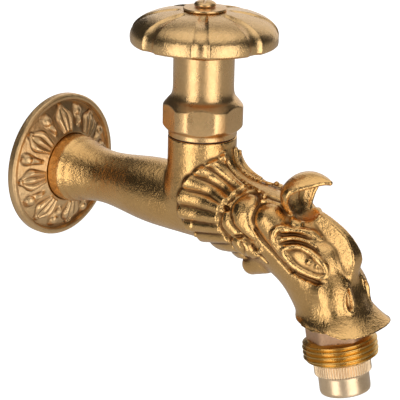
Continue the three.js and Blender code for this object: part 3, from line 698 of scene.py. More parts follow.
# the crest leaf: its spine in the plane Y = 0, and its rim as x, half width, z
LEAF_SPINE = [(112.4, 5.6), (110.0, 11.2), (110.1, 15.8), (112.8, 19.3), (117.0, 20.9), (121.8, 20.9),
              (126.2, 19.9)]
LEAF_RIM = [(114.8, 4.8, 6.4), (114.2, 8.0, 11.0), (115.2, 9.4, 14.8), (117.2, 8.4, 17.2), (120.8, 5.2, 18.6),
            (123.8, 2.2, 19.6), (126.2, 0.1, 19.8)]
LEAF_LAYERS = 4                   # shells inside each other that make its thickness
LEAF_STROKES = 14                 # strokes from the spine to the rim


def leaf(clay):
    """A cupped leaf that curls forward over the brow, fluted inside and thick under its tip."""
    spine = smooth_line([(x, 0, z) for x, z in LEAF_SPINE], 6)
    rim = smooth_line([(x, -y, z) for x, y, z in LEAF_RIM], 6)
    chord = rim * np.array([1, 0, 1])
    along = np.linspace(0, 1, len(spine))[:, None]
    thin = 1 - 0.4 * ramp(along[:, 0], 0.7, 1.0)
    for layer in range(LEAF_LAYERS):
        depth = 1 - layer * (0.16 + 0.16 * ramp(along, 0.5, 0.9))
        for share in np.linspace(0.04, 1, LEAF_STROKES):
            swing = share * math.pi / 2
            flute = 0.5 - 0.5 * math.cos(3.4 * math.pi * share)
            cut = 0.30 * flute if layer == LEAF_LAYERS - 1 else 0
            line = chord + (spine - chord) * (depth + cut * (1 - ramp(along, 0.7, 0.95))) * math.cos(swing)
            line[:, 1] = rim[:, 1] * math.sin(swing)
            clay.add(*stroke(line, (1.0 - 0.35 * share) * thin), 0.35 if share > 0.1 else 0.6)


def socket_shape(x, y, z):
    """The shallow bowl that the leaf grows out of."""
    middle_x, middle_z = 118.0, 9.2
    long, wide, deep = 4.6, 7.6, 4.4
    size = np.sqrt(((x - middle_x) / long) ** 2 + (y / wide) ** 2 + ((z - middle_z) / deep) ** 2)
    return (size - 1) * deep


# profile of the crest along its top: x, z, half width
CREST = [(121.4, 8.9, 1.3), (124.0, 8.3, 1.4), (128.0, 6.7, 1.5), (132.4, 4.4, 1.6), (135.8, 1.6, 1.8),
         (138.6, -2.6, 2.5), (139.2, -6.6, 2.8), (138.4, -10.6, 2.8), (138.4, -14.0, 2.6),
         (140.0, -18.0, 2.2), (143.0, -22.4, 1.6)]
CREST_DEPTH = 9.0                 # how far it reaches into the head
CREST_SPREAD = 0.35               # how much its sides lean out as they go down


def crest(clay):
    """The flat-topped ridge down the middle of the forehead and snout."""
    fine = smooth_line(CREST, 8)
    half = fine[:, 2]

    def shape(x, y, z):
        near, _, along, up = by_spine(fine, x, z)
        beyond = np.where(near == 0, -along, np.where(near == len(fine) - 1, along, -FAR))
        wall = np.abs(y) - (half[near] - CREST_SPREAD * np.minimum(up, 0))[:, None, :]
        top = np.maximum(up, -up - CREST_DEPTH)[:, None, :]
        return np.maximum(soft_max(wall * 0.94, top, 0.35), beyond[:, None, :])

    clay.add(shape, (116, -8, -26), (146, 0, 12), 0.8)


def swellings(clay, base):
    """The soft lumps over the eye's inner corner and on the muzzle."""
    swelling(clay, base, (131.6, -6.2, -4.8), 4.6, 2.0, 0.5, 3.0)
    swelling(clay, base, (134.8, -7.8, -14.6), 5.6, 2.6, 0.7, 3.5)


def throat_curl(clay):
    """The rolled edge under the throat."""
    clay.add(*stroke([(95.8, 0, -16.2), (97.6, -3.4, -16.0), (103.0, -3.6, -13.2)], (4.1, 3.9, 4.8)), 1.0)


# ---- passages through the casting -------------------------------------------
INLET_BORE_R = 5.5
INLET_BORE_END = 62.0
CHAMBER_FLOOR = 6.5
CHAMBER_R = profile([(0, 8.6), (12, 8.6), (18, 9.6), (20, 10.2), (24, 10.2), (30, 10.2)])
OUTLET_R = 9.2
OUTLET_TOP = 23.4


def open_up(clay):
    """The bores that the separate pieces stand in, cut clear of them."""
    def inlet(x, y, z):
        return np.maximum(np.hypot(y, z) - INLET_BORE_R, x - INLET_BORE_END)

    def chamber(x, y, z):
        r = np.hypot(x - VALVE_X, y)
        return np.maximum(r - CHAMBER_R(z), CHAMBER_FLOOR - z)

    def outlet(x, y, z):
        r, height = about_spout(x, y, z)
        return np.maximum(r - OUTLET_R, np.maximum(height - OUTLET_TOP, SEAT_HEIGHT - 3 - height))

    clay.carve(inlet, (0, -7, -7), (INLET_BORE_END, 0, 7), 0.2)
    clay.carve(chamber, (55, -12, CHAMBER_FLOOR), (90, 0, 28), 0.2)
    clay.carve(outlet, (120, -12, -34), (142, 0, -10), 0.2)


def soften(clay, low, high, rounds):
    """Rub a box of the clay smooth along X and Z, fading out towards the sides of the box."""
    edge = 3.0
    cut, x, y, z = clay.block(low, high)
    box = clay.d[cut]
    for _ in range(rounds):
        for axis in (0, 2):
            ends = np.take(box, [0, -1], axis)
            before, after = np.split(ends, 2, axis)
            more = np.concatenate([before, box, after], axis)
            count = box.shape[axis]
            box = (np.take(more, range(count), axis) + 2 * box + np.take(more, range(2, count + 2), axis)) / 4
    fade_x = ramp(x, low[0], low[0] + edge) * ramp(high[0] - x, 0, edge)
    fade_z = ramp(z, low[2], low[2] + edge) * ramp(high[2] - z, 0, edge)
    clay.d[cut] += (box - clay.d[cut]) * np.minimum(fade_x, fade_z)


def sculpt():
    """The whole casting: the base, its ornament from the soft to the crisp, and the bores."""
    base = base_body()
    clay = base.copy()
    cheek(clay, base)
    swellings(clay, base)
    crest(clay)
    throat_curl(clay)
    soften(clay, (122, -14, -23), (148, 0, -5), 12)
    relief = Relief()
    draw_fan(relief)
    draw_scrolls(relief)
    draw_eye(relief)
    draw_brows(relief)
    lift(clay, relief, (64, GRID_Y, -31), (148, 0, 26))
    neck_line(clay, base)
    soften(clay, (131, -14, -24), (147, 0, -9), 14)
    nostril(clay)
    clay.carve(socket_shape, (112, -9, 4), (124, 0, 16), 0.8)
    leaf(clay)
    open_up(clay)
    return clay


# ---- meshes ------------------------------------------------------------------
def object_from(name, verts, faces, material, body, nodes, shade_and_wear=None):
    """A smooth-shaded piece from points in millimetres, riding on a body in place of nodes of the frame."""
    mesh = bpy.data.meshes.new(name)
    verts = np.ascontiguousarray(verts * METRE, np.float32)
    loops = np.concatenate([np.asarray(f, np.int32).ravel() for f in faces])
    sizes = np.concatenate([np.full(len(f), np.shape(f)[1], np.int32) for f in faces])
    starts = np.concatenate([[0], np.cumsum(sizes)[:-1]]).astype(np.int32)
    mesh.vertices.add(len(verts))
    mesh.vertices.foreach_set("co", verts.ravel())
    mesh.loops.add(len(loops))
    mesh.loops.foreach_set("vertex_index", loops)
    mesh.polygons.add(len(sizes))
    mesh.polygons.foreach_set("loop_start", starts)
    mesh.polygons.foreach_set("loop_total", sizes)
    mesh.update(calc_edges=True)
    mesh.validate()
    mesh.shade_smooth()
    if shade_and_wear is not None:
        mesh.attributes.new("shade_and_wear", "FLOAT", "POINT").data.foreach_set("value", shade_and_wear.astype(np.float32))
    piece = bpy.data.objects.new(name, mesh)
    bpy.context.scene.collection.objects.link(piece)
    piece.data.materials.append(MATERIALS[material])
    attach(piece, body)
    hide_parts(*nodes)


def outward(verts, faces):
    """The faces, turned so that they point out and the volume that they close in is above 0."""
    volume = 0.0
    for f in faces:
        for i in range(1, f.shape[1] - 1):
            a, b, c = verts[f[:, 0]], verts[f[:, i]], verts[f[:, i + 1]]
            volume += float(np.einsum("ij,ij->i", a, np.cross(b, c)).sum()) / 6
    return [f[:, ::-1] for f in faces] if volume < 0 else faces


ROUND_STEPS = 4


def rounded(points, radius, closed=False):
    """An outline whose corners are rounded, with a point just before and after each round."""
    p = np.array(points, float)
    out = []
    last = len(p) - 1
    for i, corner in enumerate(p):
        if not closed and i in (0, last):
            out.append(corner[None])
            continue
        before, after = p[i - 1] - corner, p[(i + 1) % len(p)] - corner
        a, b = np.linalg.norm(before), np.linalg.norm(after)
        reach = min(radius, 0.42 * a, 0.42 * b)
        start, end = corner + before / a * reach, corner + after / b * reach
        t = np.linspace(0, 1, ROUND_STEPS + 1)[:, None]
        arc = (1 - t) ** 2 * start + 2 * t * (1 - t) * corner + t ** 2 * end
        support = reach * 0.25
        first = start + before / a * min(support, 0.05 * a)
        final = end + after / b * min(support, 0.05 * b)
        out.append(np.vstack([first, arc, final]))
    return np.vstack(out)


def refine(points, spacing, closed=False):
    """An outline with extra points on its long stretches."""
    p = np.array(points, float)
    if closed:
        p = np.vstack([p, p[:1]])
    out = []
    for a, b in zip(p[:-1], p[1:]):
        n = max(1, int(math.ceil(np.linalg.norm(b - a) / spacing)))
        out.append(a + (b - a) * (np.arange(n) / n)[:, None])
    if not closed:
        out.append(p[-1:])
    return np.vstack(out)


def with_kinds(*parts):
    """Outlines joined into one, each with its kind as a third column."""
    return np.vstack([np.column_stack([outline, np.full(len(outline), kind)]) for outline, kind in parts])


def turned(outline, segments, place, section=None, closed=True):
    """An outline of radius, height and, where given, kind, swept round the axis of a place.

    section(r, z, angle, kind) may reshape it."""
    outline = np.array(outline, float)
    angle = np.arange(segments) * 2 * math.pi / segments
    r = np.repeat(outline[:, :1], segments, 1)
    z = np.repeat(outline[:, 1:2], segments, 1)
    turn = np.repeat(angle[None], len(outline), 0)
    if section:
        kind = np.repeat(outline[:, 2:3], segments, 1) if outline.shape[1] > 2 else 1
        r, z = section(r, z, turn, kind)
    verts = np.stack([r * np.cos(turn), r * np.sin(turn), z], -1).reshape(-1, 3)
    rows = len(outline)
    index = np.arange(rows * segments).reshape(rows, segments)
    lower = index if closed else index[:-1]
    upper = np.roll(index, -1, 0) if closed else index[1:]
    quads = np.stack([lower, np.roll(lower, -1, 1), np.roll(upper, -1, 1), upper], -1).reshape(-1, 4)
    faces = [quads]
    if not closed:
        # both ends lie on the axis: each is closed by a fan round one point
        ends = np.array([[0, 0, z[0].mean()], [0, 0, z[-1].mean()]])
        verts = np.vstack([verts, ends])
        n = rows * segments
        bottom = np.stack([np.full(segments, n), np.roll(index[0], -1), index[0]], 1)
        top = np.stack([np.full(segments, n + 1), index[-1], np.roll(index[-1], -1)], 1)
        faces += [bottom, top]
    verts = place.world(verts)
    return verts, outward(verts, faces)


def hexagon(across, turn, edge):
    """A section that cuts a turned blank down to six flats where the outline's kind is 1."""
    def section(r, z, angle, kind):
        from_flat = (angle - turn + math.pi / 6) % (math.pi / 3) - math.pi / 6
        flat = across / 2 / np.cos(from_flat)
        return np.where(kind == 1, soft_min(r, flat, edge), r), z

    return section


THREAD_PITCH = 1.814              # 14 threads per inch, for both G 1/2 and G 3/4


def thread_radius(z, angle, root, crest):
    """Radius of a V thread with its crest and root rounded."""
    turn = z / THREAD_PITCH - angle / (2 * math.pi)
    phase = np.abs(turn - np.round(turn)) * 2
    return root + (crest - root) * ramp(0.94 - phase, 0.0, 0.86)


# ---- materials -----------------------------------------------------------------
class Nodes:
    """Short names for building a material's nodes."""

    def __init__(self, name):
        self.material = bpy.data.materials.new(name)
        self.material.use_nodes = True
        self.tree = self.material.node_tree
        self.shader = self.tree.nodes["Principled BSDF"]

    def add(self, kind, **settings):
        node = self.tree.nodes.new(kind)
        for key, value in settings.items():
            setattr(node, key, value)
        return node

    def link(self, source, target):
        self.tree.links.new(source, target)

    def feed(self, socket, value):
        """Link a socket to a source, or set it to a number or a colour."""
        if hasattr(value, "links"):
            self.link(value, socket)
        else:
            socket.default_value = (*value, 1) if isinstance(value, tuple) else value

    def noise(self, scale, detail=4, roughness=0.55):
        node = self.add("ShaderNodeTexNoise")
        node.inputs["Scale"].default_value = scale
        node.inputs["Detail"].default_value = detail
        node.inputs["Roughness"].default_value = roughness
        self.link(self.add("ShaderNodeTexCoord").outputs["Object"], node.inputs["Vector"])
        return node.outputs["Fac"]

    def ramp(self, source, stops):
        """The source's value changed from place to value as the stops say."""
        node = self.add("ShaderNodeValToRGB")
        elements = node.color_ramp.elements
        while len(elements) < len(stops):
            elements.new(0.5)
        for element, (at, value) in zip(elements, stops):
            element.position = at
            element.color = (value, value, value, 1)
        self.link(source, node.inputs["Fac"])
        return node.outputs["Color"]

    def mix(self, share, a, b):
        """Colour a turned into colour b by a share."""
        node = self.add("ShaderNodeMix", data_type="RGBA")
        for name, value in (("Factor", share), ("A", a), ("B", b)):
            self.feed(node.inputs[name], value)
        return node.outputs["Result"]

    def maths(self, operation, a, b, clamp=False):
        node = self.add("ShaderNodeMath", operation=operation, use_clamp=clamp)
        for socket, value in zip(node.inputs, (a, b)):
            self.feed(socket, value)
        return node.outputs["Value"]

    def bump(self, height, distance, under=None):
        """Surface directions from a height, over those of another bump where one is given."""
        node = self.add("ShaderNodeBump")
        node.inputs["Distance"].default_value = distance
        node.inputs["Strength"].default_value = 1.0
        self.link(height, node.inputs["Height"])
        if under is not None:
            self.link(under, node.inputs["Normal"])
        return node.outputs["Normal"]


def tinted(colour, *factors):
    """A colour with its channels multiplied by one factor, or by one each, and none over 1."""
    return tuple(min(float(c * f), 1.0) for c, f in zip(colour, np.broadcast_to(factors, 3)))


HOLLOW_SHADE = (0.15, 0.065, 0.022)       # painted shade in the hollows


def brass(name, colour, rough, grain, pits=0.0, shade_and_wear=False):
    """Brass with blotched colour and a fine grain, with painted shade in its hollows and brighter rubbed high
    points where the piece has a shade-and-wear map.
    """
    n = Nodes(name)
    n.shader.inputs["Metallic"].default_value = 1.0
    blotch = n.ramp(n.noise(90, 5), [(0.36, 0.0), (0.66, 1.0)])
    speck = n.ramp(n.noise(1100, 3), [(0.40, 0.0), (0.60, 1.0)])
    tone = n.mix(n.maths("MULTIPLY", blotch, 0.5), colour, tinted(colour, 0.80, 0.72, 0.58))
    tone = n.mix(n.maths("MULTIPLY", speck, 0.30), tone, tinted(colour, 1.18))
    roughness = n.maths("ADD", n.maths("MULTIPLY", n.noise(220, 4), 0.24), rough - 0.12)
    if shade_and_wear:
        shade_and_wear_map = n.add("ShaderNodeAttribute", attribute_name="shade_and_wear").outputs["Fac"]
        hollow = n.ramp(shade_and_wear_map, [(0.08, 1.0), (0.46, 0.0)])
        proud = n.ramp(shade_and_wear_map, [(0.58, 0.0), (0.95, 1.0)])
        # painted shade: the hollows are darkened towards a deep brown
        tone = n.mix(n.maths("MULTIPLY", hollow, 0.9), tone, HOLLOW_SHADE)
        # rubbed wear: the raised parts are a little brighter
        tone = n.mix(n.maths("MULTIPLY", proud, 0.5), tone, tinted(colour, 1.25))
        roughness = n.maths("ADD", roughness, n.maths("MULTIPLY", hollow, 0.2))
        roughness = n.maths("SUBTRACT", roughness, n.maths("MULTIPLY", proud, 0.06), clamp=True)
    n.link(tone, n.shader.inputs["Base Color"])
    n.link(roughness, n.shader.inputs["Roughness"])
    normal = n.bump(n.noise(1700, 2, 0.6), 0.00006 * grain)
    if pits:
        normal = n.bump(n.ramp(n.noise(620, 4, 0.62), [(0.28, 0.0), (0.64, 1.0)]), 0.00016 * pits, normal)
        normal = n.bump(n.noise(70, 3, 0.5), 0.0009 * pits, normal)
    n.link(normal, n.shader.inputs["Normal"])
    return n.material


def plain(name, colour, rough, scale=300, relief=0.00004, metallic=0.0):
    """Rubber, fibre, plastic or steel with a faint mottle and grain."""
    n = Nodes(name)
    n.shader.inputs["Metallic"].default_value = metallic
    mottle = n.ramp(n.noise(scale, 4), [(0.35, 0.0), (0.65, 1.0)])
    tone = n.mix(n.maths("MULTIPLY", mottle, 0.5), colour, tinted(colour, 0.8))
    n.link(tone, n.shader.inputs["Base Color"])
    roughness = n.maths("ADD", n.maths("MULTIPLY", n.noise(scale * 2), 0.2), rough - 0.1)
    n.link(roughness, n.shader.inputs["Roughness"])
    n.link(n.bump(n.noise(scale * 5, 3), relief), n.shader.inputs["Normal"])
    return n.material


MADE = [
    brass("cast_brass", (0.77, 0.465, 0.18), 0.23, 1.6, pits=0.5, shade_and_wear=True),
    brass("rosette_brass", (0.78, 0.51, 0.25), 0.36, 1.6, pits=0.5, shade_and_wear=True),
    brass("wheel_brass", (0.80, 0.52, 0.24), 0.26, 1.2, pits=0.22),
    brass("polished_brass", (0.82, 0.52, 0.24), 0.29, 1.2, pits=0.06),
    brass("nipple_brass", (0.80, 0.50, 0.15), 0.28, 0.8),
    brass("blasted_brass", (0.66, 0.43, 0.27), 0.62, 4.0, pits=0.4),
    brass("satin_brass", (0.90, 0.66, 0.42), 0.32, 0.6),
    brass("plain_brass", (0.76, 0.54, 0.26), 0.34, 0.8),
    plain("rubber", (0.035, 0.035, 0.036), 0.62),
    plain("fibre", (0.10, 0.055, 0.035), 0.75, 500),
    plain("graphite", (0.08, 0.08, 0.085), 0.5, 700),
    plain("white_plastic", (0.80, 0.79, 0.74), 0.42),
    plain("screen_steel", (0.58, 0.58, 0.57), 0.3, 800, 0.00002, 1.0),
]
def slot_of(material):
    """The material's slot: Blender adds a number to a name that is taken."""
    return material.name.split(".")[0]


MATERIALS = {slot_of(material): material for material in MADE}


# ---- body casting, as a mesh -----------------------------------------------------
def make_body():
    clay = sculpt()
    whole = np.concatenate([clay.d, clay.d[:, -2::-1]], 1)
    side = np.concatenate([clay.axis[1], -clay.axis[1][-2::-1]])
    verts, faces = surface_net(whole, [clay.axis[0], side, clay.axis[2]])
    # how far each point stands out of, or lies in, a blurred copy of the casting, for painted shade in its
    # hollows and rubbed wear on its raised parts
    soft = Clay(clay.axis)
    soft.d = blurred(whole, (0, 1, 2), 7)[:, :len(clay.axis[1])]
    shade_and_wear = np.clip(0.5 + soft.sample(verts) * 1.6, 0, 1)
    faces = outward(verts, [faces])
    object_from("body_casting_skin", verts, faces, "cast_brass", "tap_body", ["body_casting"], shade_and_wear=shade_and_wear)


# ---- inlet thread -----------------------------------------------------------------
INLET_END = -14.0
INLET_R = 10.48
INLET_ROOT_R = 9.32


def make_inlet():
    """The G 1/2 spigot that goes into the wall, its first thread tapered and a relief groove at the last."""
    rows = [(INLET_BORE_R, INLET_END), (8.9, INLET_END), (9.3, INLET_END + 0.5)]
    rows += [(INLET_R, z) for z in np.arange(INLET_END + 0.6, -1.7, 0.18)]
    rows += [(9.3, -1.6), (9.3, -0.9), (10.4, -0.3), (10.4, 4.6), (INLET_BORE_R, 4.6)]

    def section(r, z, angle, kind):
        cut = thread_radius(z, angle, INLET_ROOT_R, INLET_R)
        lead = INLET_ROOT_R + (z - INLET_END) * 0.6
        threaded = (z > INLET_END + 0.55) & (z < -1.65)
        return np.where(threaded, np.minimum(cut, lead), r), z

    verts, faces = turned(refine(rows, 3.0, True), 160, WALL, section)
    level_shade_and_wear = np.full(len(verts), 0.5)
    object_from("inlet_thread", verts, faces, "cast_brass", "tap_body", ["body_casting"], shade_and_wear=level_shade_and_wear)


# ---- wall rosette -------------------------------------------------------------------
ROSETTE_FIELD = 1.8               # ground behind the leaves, at the rim
ROSETTE_FIELD_R = 25.2
ROSETTE_CROWN = 6.6               # brim of the well that the collar sits in
ROSETTE_CROWN_R = 13.8
ROSETTE_WELL_R = 13.3
ROSETTE_LEAVES = 8
LEAF_TURN = math.radians(4.0)     # from +Y towards +Z
# half widths and heights by radius
LEAF_HALF = profile([(13.8, 2.2), (15.5, 2.7), (17.5, 3.5), (19.8, 4.3), (21.4, 3.9), (22.6, 2.5),
                     (23.4, 1.5), (25.2, 0.4)])
LEAF_TALL = profile([(13.8, 0.2), (15, 0.9), (18.5, 1.7), (20.6, 1.8), (22.2, 1.1), (23.2, 0.9),
                     (24.0, 1.4), (25.0, 0.5)])
STEM_HALF = profile([(14.5, 1.0), (17, 1.1), (19, 1.5), (20.5, 2.2), (22.4, 2.6), (24, 2.0), (25, 0.8)])
BUD_RADIUS = 2.1
BUD_AT = 22.2


def rosette_ground(r):
    """The shallow cone behind the leaves."""
    share = (ROSETTE_FIELD_R - r) / (ROSETTE_FIELD_R - ROSETTE_CROWN_R)
    return ROSETTE_FIELD + (ROSETTE_CROWN - ROSETTE_FIELD) * share


def rosette_relief(r, angle):
    """Height of the leaves and buds over the ground."""
    pitch = 2 * math.pi / ROSETTE_LEAVES
    off = (angle - LEAF_TURN + pitch / 2) % pitch - pitch / 2
    share = np.abs(off * r) / LEAF_HALF(r)
    ribs = 0.5 + 0.5 * np.cos(3 * math.pi * np.clip(share, 0, 1))
    leaf = LEAF_TALL(r) * (0.5 + 0.5 * ribs ** 0.6) * ramp(1.06 - share, 0.0, 0.2)
    away = ((angle - LEAF_TURN) % pitch - pitch / 2) * r
    stem = 0.75 * ramp(1.05 - np.abs(away) / STEM_HALF(r), 0.0, 0.5)
    stem = stem * ramp(r, 15.0, 17.5) * ramp(25.0 - r, 0.0, 1.2)
    ball = 2.0 * np.sqrt(np.maximum(1 - (away / BUD_RADIUS) ** 2 - ((r - BUD_AT) / BUD_RADIUS) ** 2, 0))
    neck = 1.2 * bump(away / 1.1) * bump((r - 18.6) / 2.4)
    height = np.maximum(np.maximum(leaf, stem + neck), ball)
    return height * ramp(r, ROSETTE_CROWN_R, 14.8) * ramp(ROSETTE_FIELD_R - r, 0.0, 0.6)


def make_rosette():
    """A shallow cone with a raised rim and eight fluted leaves, with a bud between each pair."""
    seat, rim, edge = 2.4, 3.4, 28.0
    hole = 10.9
    outside = rounded([(hole, 0), (edge, 0), (edge, 2.7), (27.2, rim), (26.0, rim),
                       (25.4, ROSETTE_FIELD)], 0.3)
    radii = np.arange(ROSETTE_FIELD_R, ROSETTE_CROWN_R, -0.16)
    field = np.column_stack([radii, rosette_ground(radii)])
    inside = rounded([(ROSETTE_CROWN_R, ROSETTE_CROWN), (ROSETTE_WELL_R, ROSETTE_CROWN - 0.2),
                      (ROSETTE_WELL_R, seat), (hole, seat), (hole, 0.3)], 0.12)
    rows = np.vstack([refine(outside, 0.5), field, inside])

    def section(r, z, angle, kind):
        leafy = (r > ROSETTE_CROWN_R) & (r < ROSETTE_FIELD_R) & (z > ROSETTE_FIELD - 0.1)
        return r, z + np.where(leafy, rosette_relief(r, angle), 0)

    segments = 480
    verts, faces = turned(rows, segments, WALL, section)
    # height over a blurred copy of the relief: painted shade in its hollows, rubbed wear on its raised parts
    height = verts[:, 0].reshape(len(rows), segments)
    shade_and_wear = np.clip(0.56 + (height - blurred(height, (0, 1, 1), 5)).ravel() * 1.4, 0, 1)
    object_from("rosette", verts, faces, "rosette_brass", "tap_body", ["wall_rosette"], shade_and_wear=shade_and_wear)


# ---- bonnet and its gasket ------------------------------------------------------------
BONNET_AF = 27.0
BONNET_TURN = math.radians(4.7)
BONNET_CORNER = 14.4


def make_bonnet():
    """The valve's bonnet: spigot, turned ring, big hexagon with its corners turned, and a plain neck."""
    foot = rounded([(8.1, 18.6), (9.1, 18.6), (9.7, 19.2), (9.7, 26.5), (12.4, 26.5), (12.4, 28.3)], 0.2)
    hexed = rounded([(12.5, 28.45), (12.9, 28.5), (BONNET_CORNER, 29.9), (BONNET_CORNER, 37.2),
                     (12.6, 39.4)], 0.5)
    neck = smooth_line([(12.5, 39.5), (11.8, 40.3), (11.3, 41.3), (11.0, 42.6), (10.9, 44.2)], 4)
    top = rounded([(10.9, 44.4), (10.9, 56.0), (7.5, 56.0), (7.5, 42.5), (4.3, 42.5), (4.3, 41.2),
                   (6.3, 41.0), (6.3, 23.0), (8.1, 22.0), (8.1, 18.8)], 0.25)
    rows = with_kinds((refine(foot, 1.0), 0), (refine(hexed, 0.25), 1), (refine(neck, 1.0), 0),
                      (refine(top, 1.5), 0))
    verts, faces = turned(rows, 288, VALVE, hexagon(BONNET_AF, BONNET_TURN, 0.35))
    object_from("bonnet_turned", verts, faces, "polished_brass", "tap_body", ["bonnet"])


GLAND_AF = 15.0
GLAND_HEAD = 56.3                 # underside of its hexagon


def make_gland_nut():
    """The nut that presses the packing: a sleeve with a small hexagon on top."""
    rows = rounded([(4.2, 49.7), (7.3, 49.7), (7.3, GLAND_HEAD), (8.0, GLAND_HEAD), (8.4, 56.8), (8.4, 58.9),
                    (7.9, 59.4), (4.2, 59.4)], 0.15, closed=True)
    rows = refine(rows, 0.6, True)
    rows = np.column_stack([rows, (rows[:, 1] > GLAND_HEAD - 0.1) & (rows[:, 0] > 6)])
    verts, faces = turned(rows, 144, VALVE, hexagon(GLAND_AF, 0.0, 0.2))
    object_from("gland_nut_turned", verts, faces, "plain_brass", "tap_body", ["gland_nut"])


# ---- handwheel ---------------------------------------------------------------------------
FLUTES = 8
FLUTE_TURN = math.radians(-55)
FLUTE_DEPTH = 1.1
SQUARE_HALF = 3.4
FLUTE_HALF = profile([(7, 0.9), (9, 1.4), (14, 1.9), (20, 2.4), (26.5, 3.1)])


def flute_section(r, z, angle, kind):
    """Eight grooves down the dome and the rim, where kind is above 0, and a square hole through the hub."""
    pitch = 2 * math.pi / FLUTES
    across = ((angle - FLUTE_TURN + pitch / 2) % pitch - pitch / 2) * r
    share = np.clip(np.abs(across) / FLUTE_HALF(r), 0, 1)
    deep = FLUTE_DEPTH * kind * ramp(r, 7.5, 12.0) * (1 - share ** 2.2)
    lean = np.clip((r - 15) / 10, 0, 1)
    square = SQUARE_HALF / np.maximum(np.abs(np.cos(angle)), np.abs(np.sin(angle)))
    return np.where(r < 4, square, r - deep * lean), z - deep * (1 - lean)


def make_wheel():
    """The hollow domed handwheel, its flutes fading out under the rim."""
    dome = smooth_line([(7.6, 71.25), (11, 71.05), (15, 70.5), (19, 69.45), (22.2, 68.1), (24.3, 66.6),
                        (25.6, 65.0), (26.2, 63.4), (26.3, 61.8), (26.2, 60.6)], 6)
    under = rounded([(26.1, 60.2), (25.6, 59.65), (23.4, 60.2), (22.7, 63.4), (20.2, 65.9), (8.4, 67.5),
                     (7.0, 66.4), (7.0, 60.4), (SQUARE_HALF, 60.4), (SQUARE_HALF, 71.3), (7.4, 71.28)], 0.5)
    under = refine(under, 1.2)
    fluted = ramp(under[:, 0] - 24.0, 0, 1.8) * (under[:, 1] < 61)
    rows = with_kinds((dome, 1), (under, fluted))
    verts, faces = turned(rows, 480, VALVE, flute_section)
    object_from("wheel", verts, faces, "wheel_brass", "spindle_and_wheel", ["handwheel"])


def make_wheel_washer():
    rows = rounded([(1.95, 71.35), (7.5, 71.35), (7.7, 71.7), (7.6, 72.25), (4.0, 72.6), (1.95, 72.6)], 0.12,
                   closed=True)
    verts, faces = turned(rows, 96, VALVE)
    object_from("washer_turned", verts, faces, "polished_brass", "spindle_and_wheel", ["wheel_washer"])


def make_wheel_screw():
    """A domed screw with a straight slot."""
    head, rim, slot_turn = 72.9, 3.85, math.radians(120)
    shank = rounded([(1.2, 62), (1.6, 62.5), (1.6, head), (rim - 0.1, head), (rim, head + 0.3)], 0.1)
    swing = np.linspace(0, math.pi / 2, 22)[:-1]
    dome = np.column_stack([rim * np.cos(swing) + 0.02, head + 0.5 + 1.5 * np.sin(swing)])

    def section(r, z, angle, kind):
        across = np.abs(r * np.sin(angle - slot_turn))
        cut = ramp(0.5 - across, 0.0, 0.14)
        return r, z - cut * np.maximum(z - (head + 1.2), 0)

    verts, faces = turned(np.vstack([shank, dome]), 144, VALVE, section, closed=False)
    object_from("screw_turned", verts, faces, "polished_brass", "spindle_and_wheel", ["wheel_screw"])


# ---- hose nipple and aerator ------------------------------------------------------------------
HOSE_R = 13.22
HOSE_ROOT_R = 12.06
HOSE_TOP = 5.4
HOSE_END = -2.4
NIPPLE_AF = 20.4


def make_nipple():
    """Spigot and G 3/4 hose thread, bored through."""
    shoulder = HOSE_TOP + 0.1
    spigot = rounded([(6.0, 22.2), (8.2, 22.2), (8.6, 21.6), (8.6, shoulder), (11.4, shoulder)], 0.1)
    threaded = np.array([(HOSE_R, z) for z in np.arange(HOSE_TOP, HOSE_END - 0.01, -0.13)])
    inside = rounded([(11.6, HOSE_END), (7.9, HOSE_END), (7.9, 5.0), (6.0, 5.0), (6.0, 22.0)], 0.2)
    rows = with_kinds((refine(spigot, 1.5), 0), (threaded, 1), (refine(inside, 1.5), 0))

    def section(r, z, angle, kind):
        full = thread_radius(z, angle, HOSE_ROOT_R, HOSE_R)
        to_end = np.minimum(z - HOSE_END, HOSE_TOP - z)
        cut = np.minimum(full, 11.5 + to_end * 1.6)
        return np.where(kind == 1, cut, r), z

    verts, faces = turned(rows, 216, SPOUT, section)
    object_from("nipple_turned", verts, faces, "nipple_brass", "tap_body", ["hose_nipple"])


def make_nipple_hexagon():
    """The nipple's short hexagon, matt where the nipple itself is bright."""
    foot = HOSE_TOP + 0.05
    ring = rounded([(8.3, 12.4), (11.0, 12.4), (11.4, 12.0), (11.4, foot), (8.3, foot)], 0.15)
    rows = refine(np.vstack([ring, ring[:1]]), 0.5)[:-1]
    rows = np.column_stack([rows, rows[:, 0] > 10])
    verts, faces = turned(rows, 216, SPOUT, hexagon(NIPPLE_AF, 0.0, 0.3))
    object_from("nipple_hexagon", verts, faces, "blasted_brass", "tap_body", ["hose_nipple"])


KNURL_TEETH = 64
KNURL_DEPTH = 0.55
KNURL_R = 10.1
KNURL_TOP = -2.8
KNURL_END = -7.4
BARREL_R = 9.0
BARREL_END = -14.8


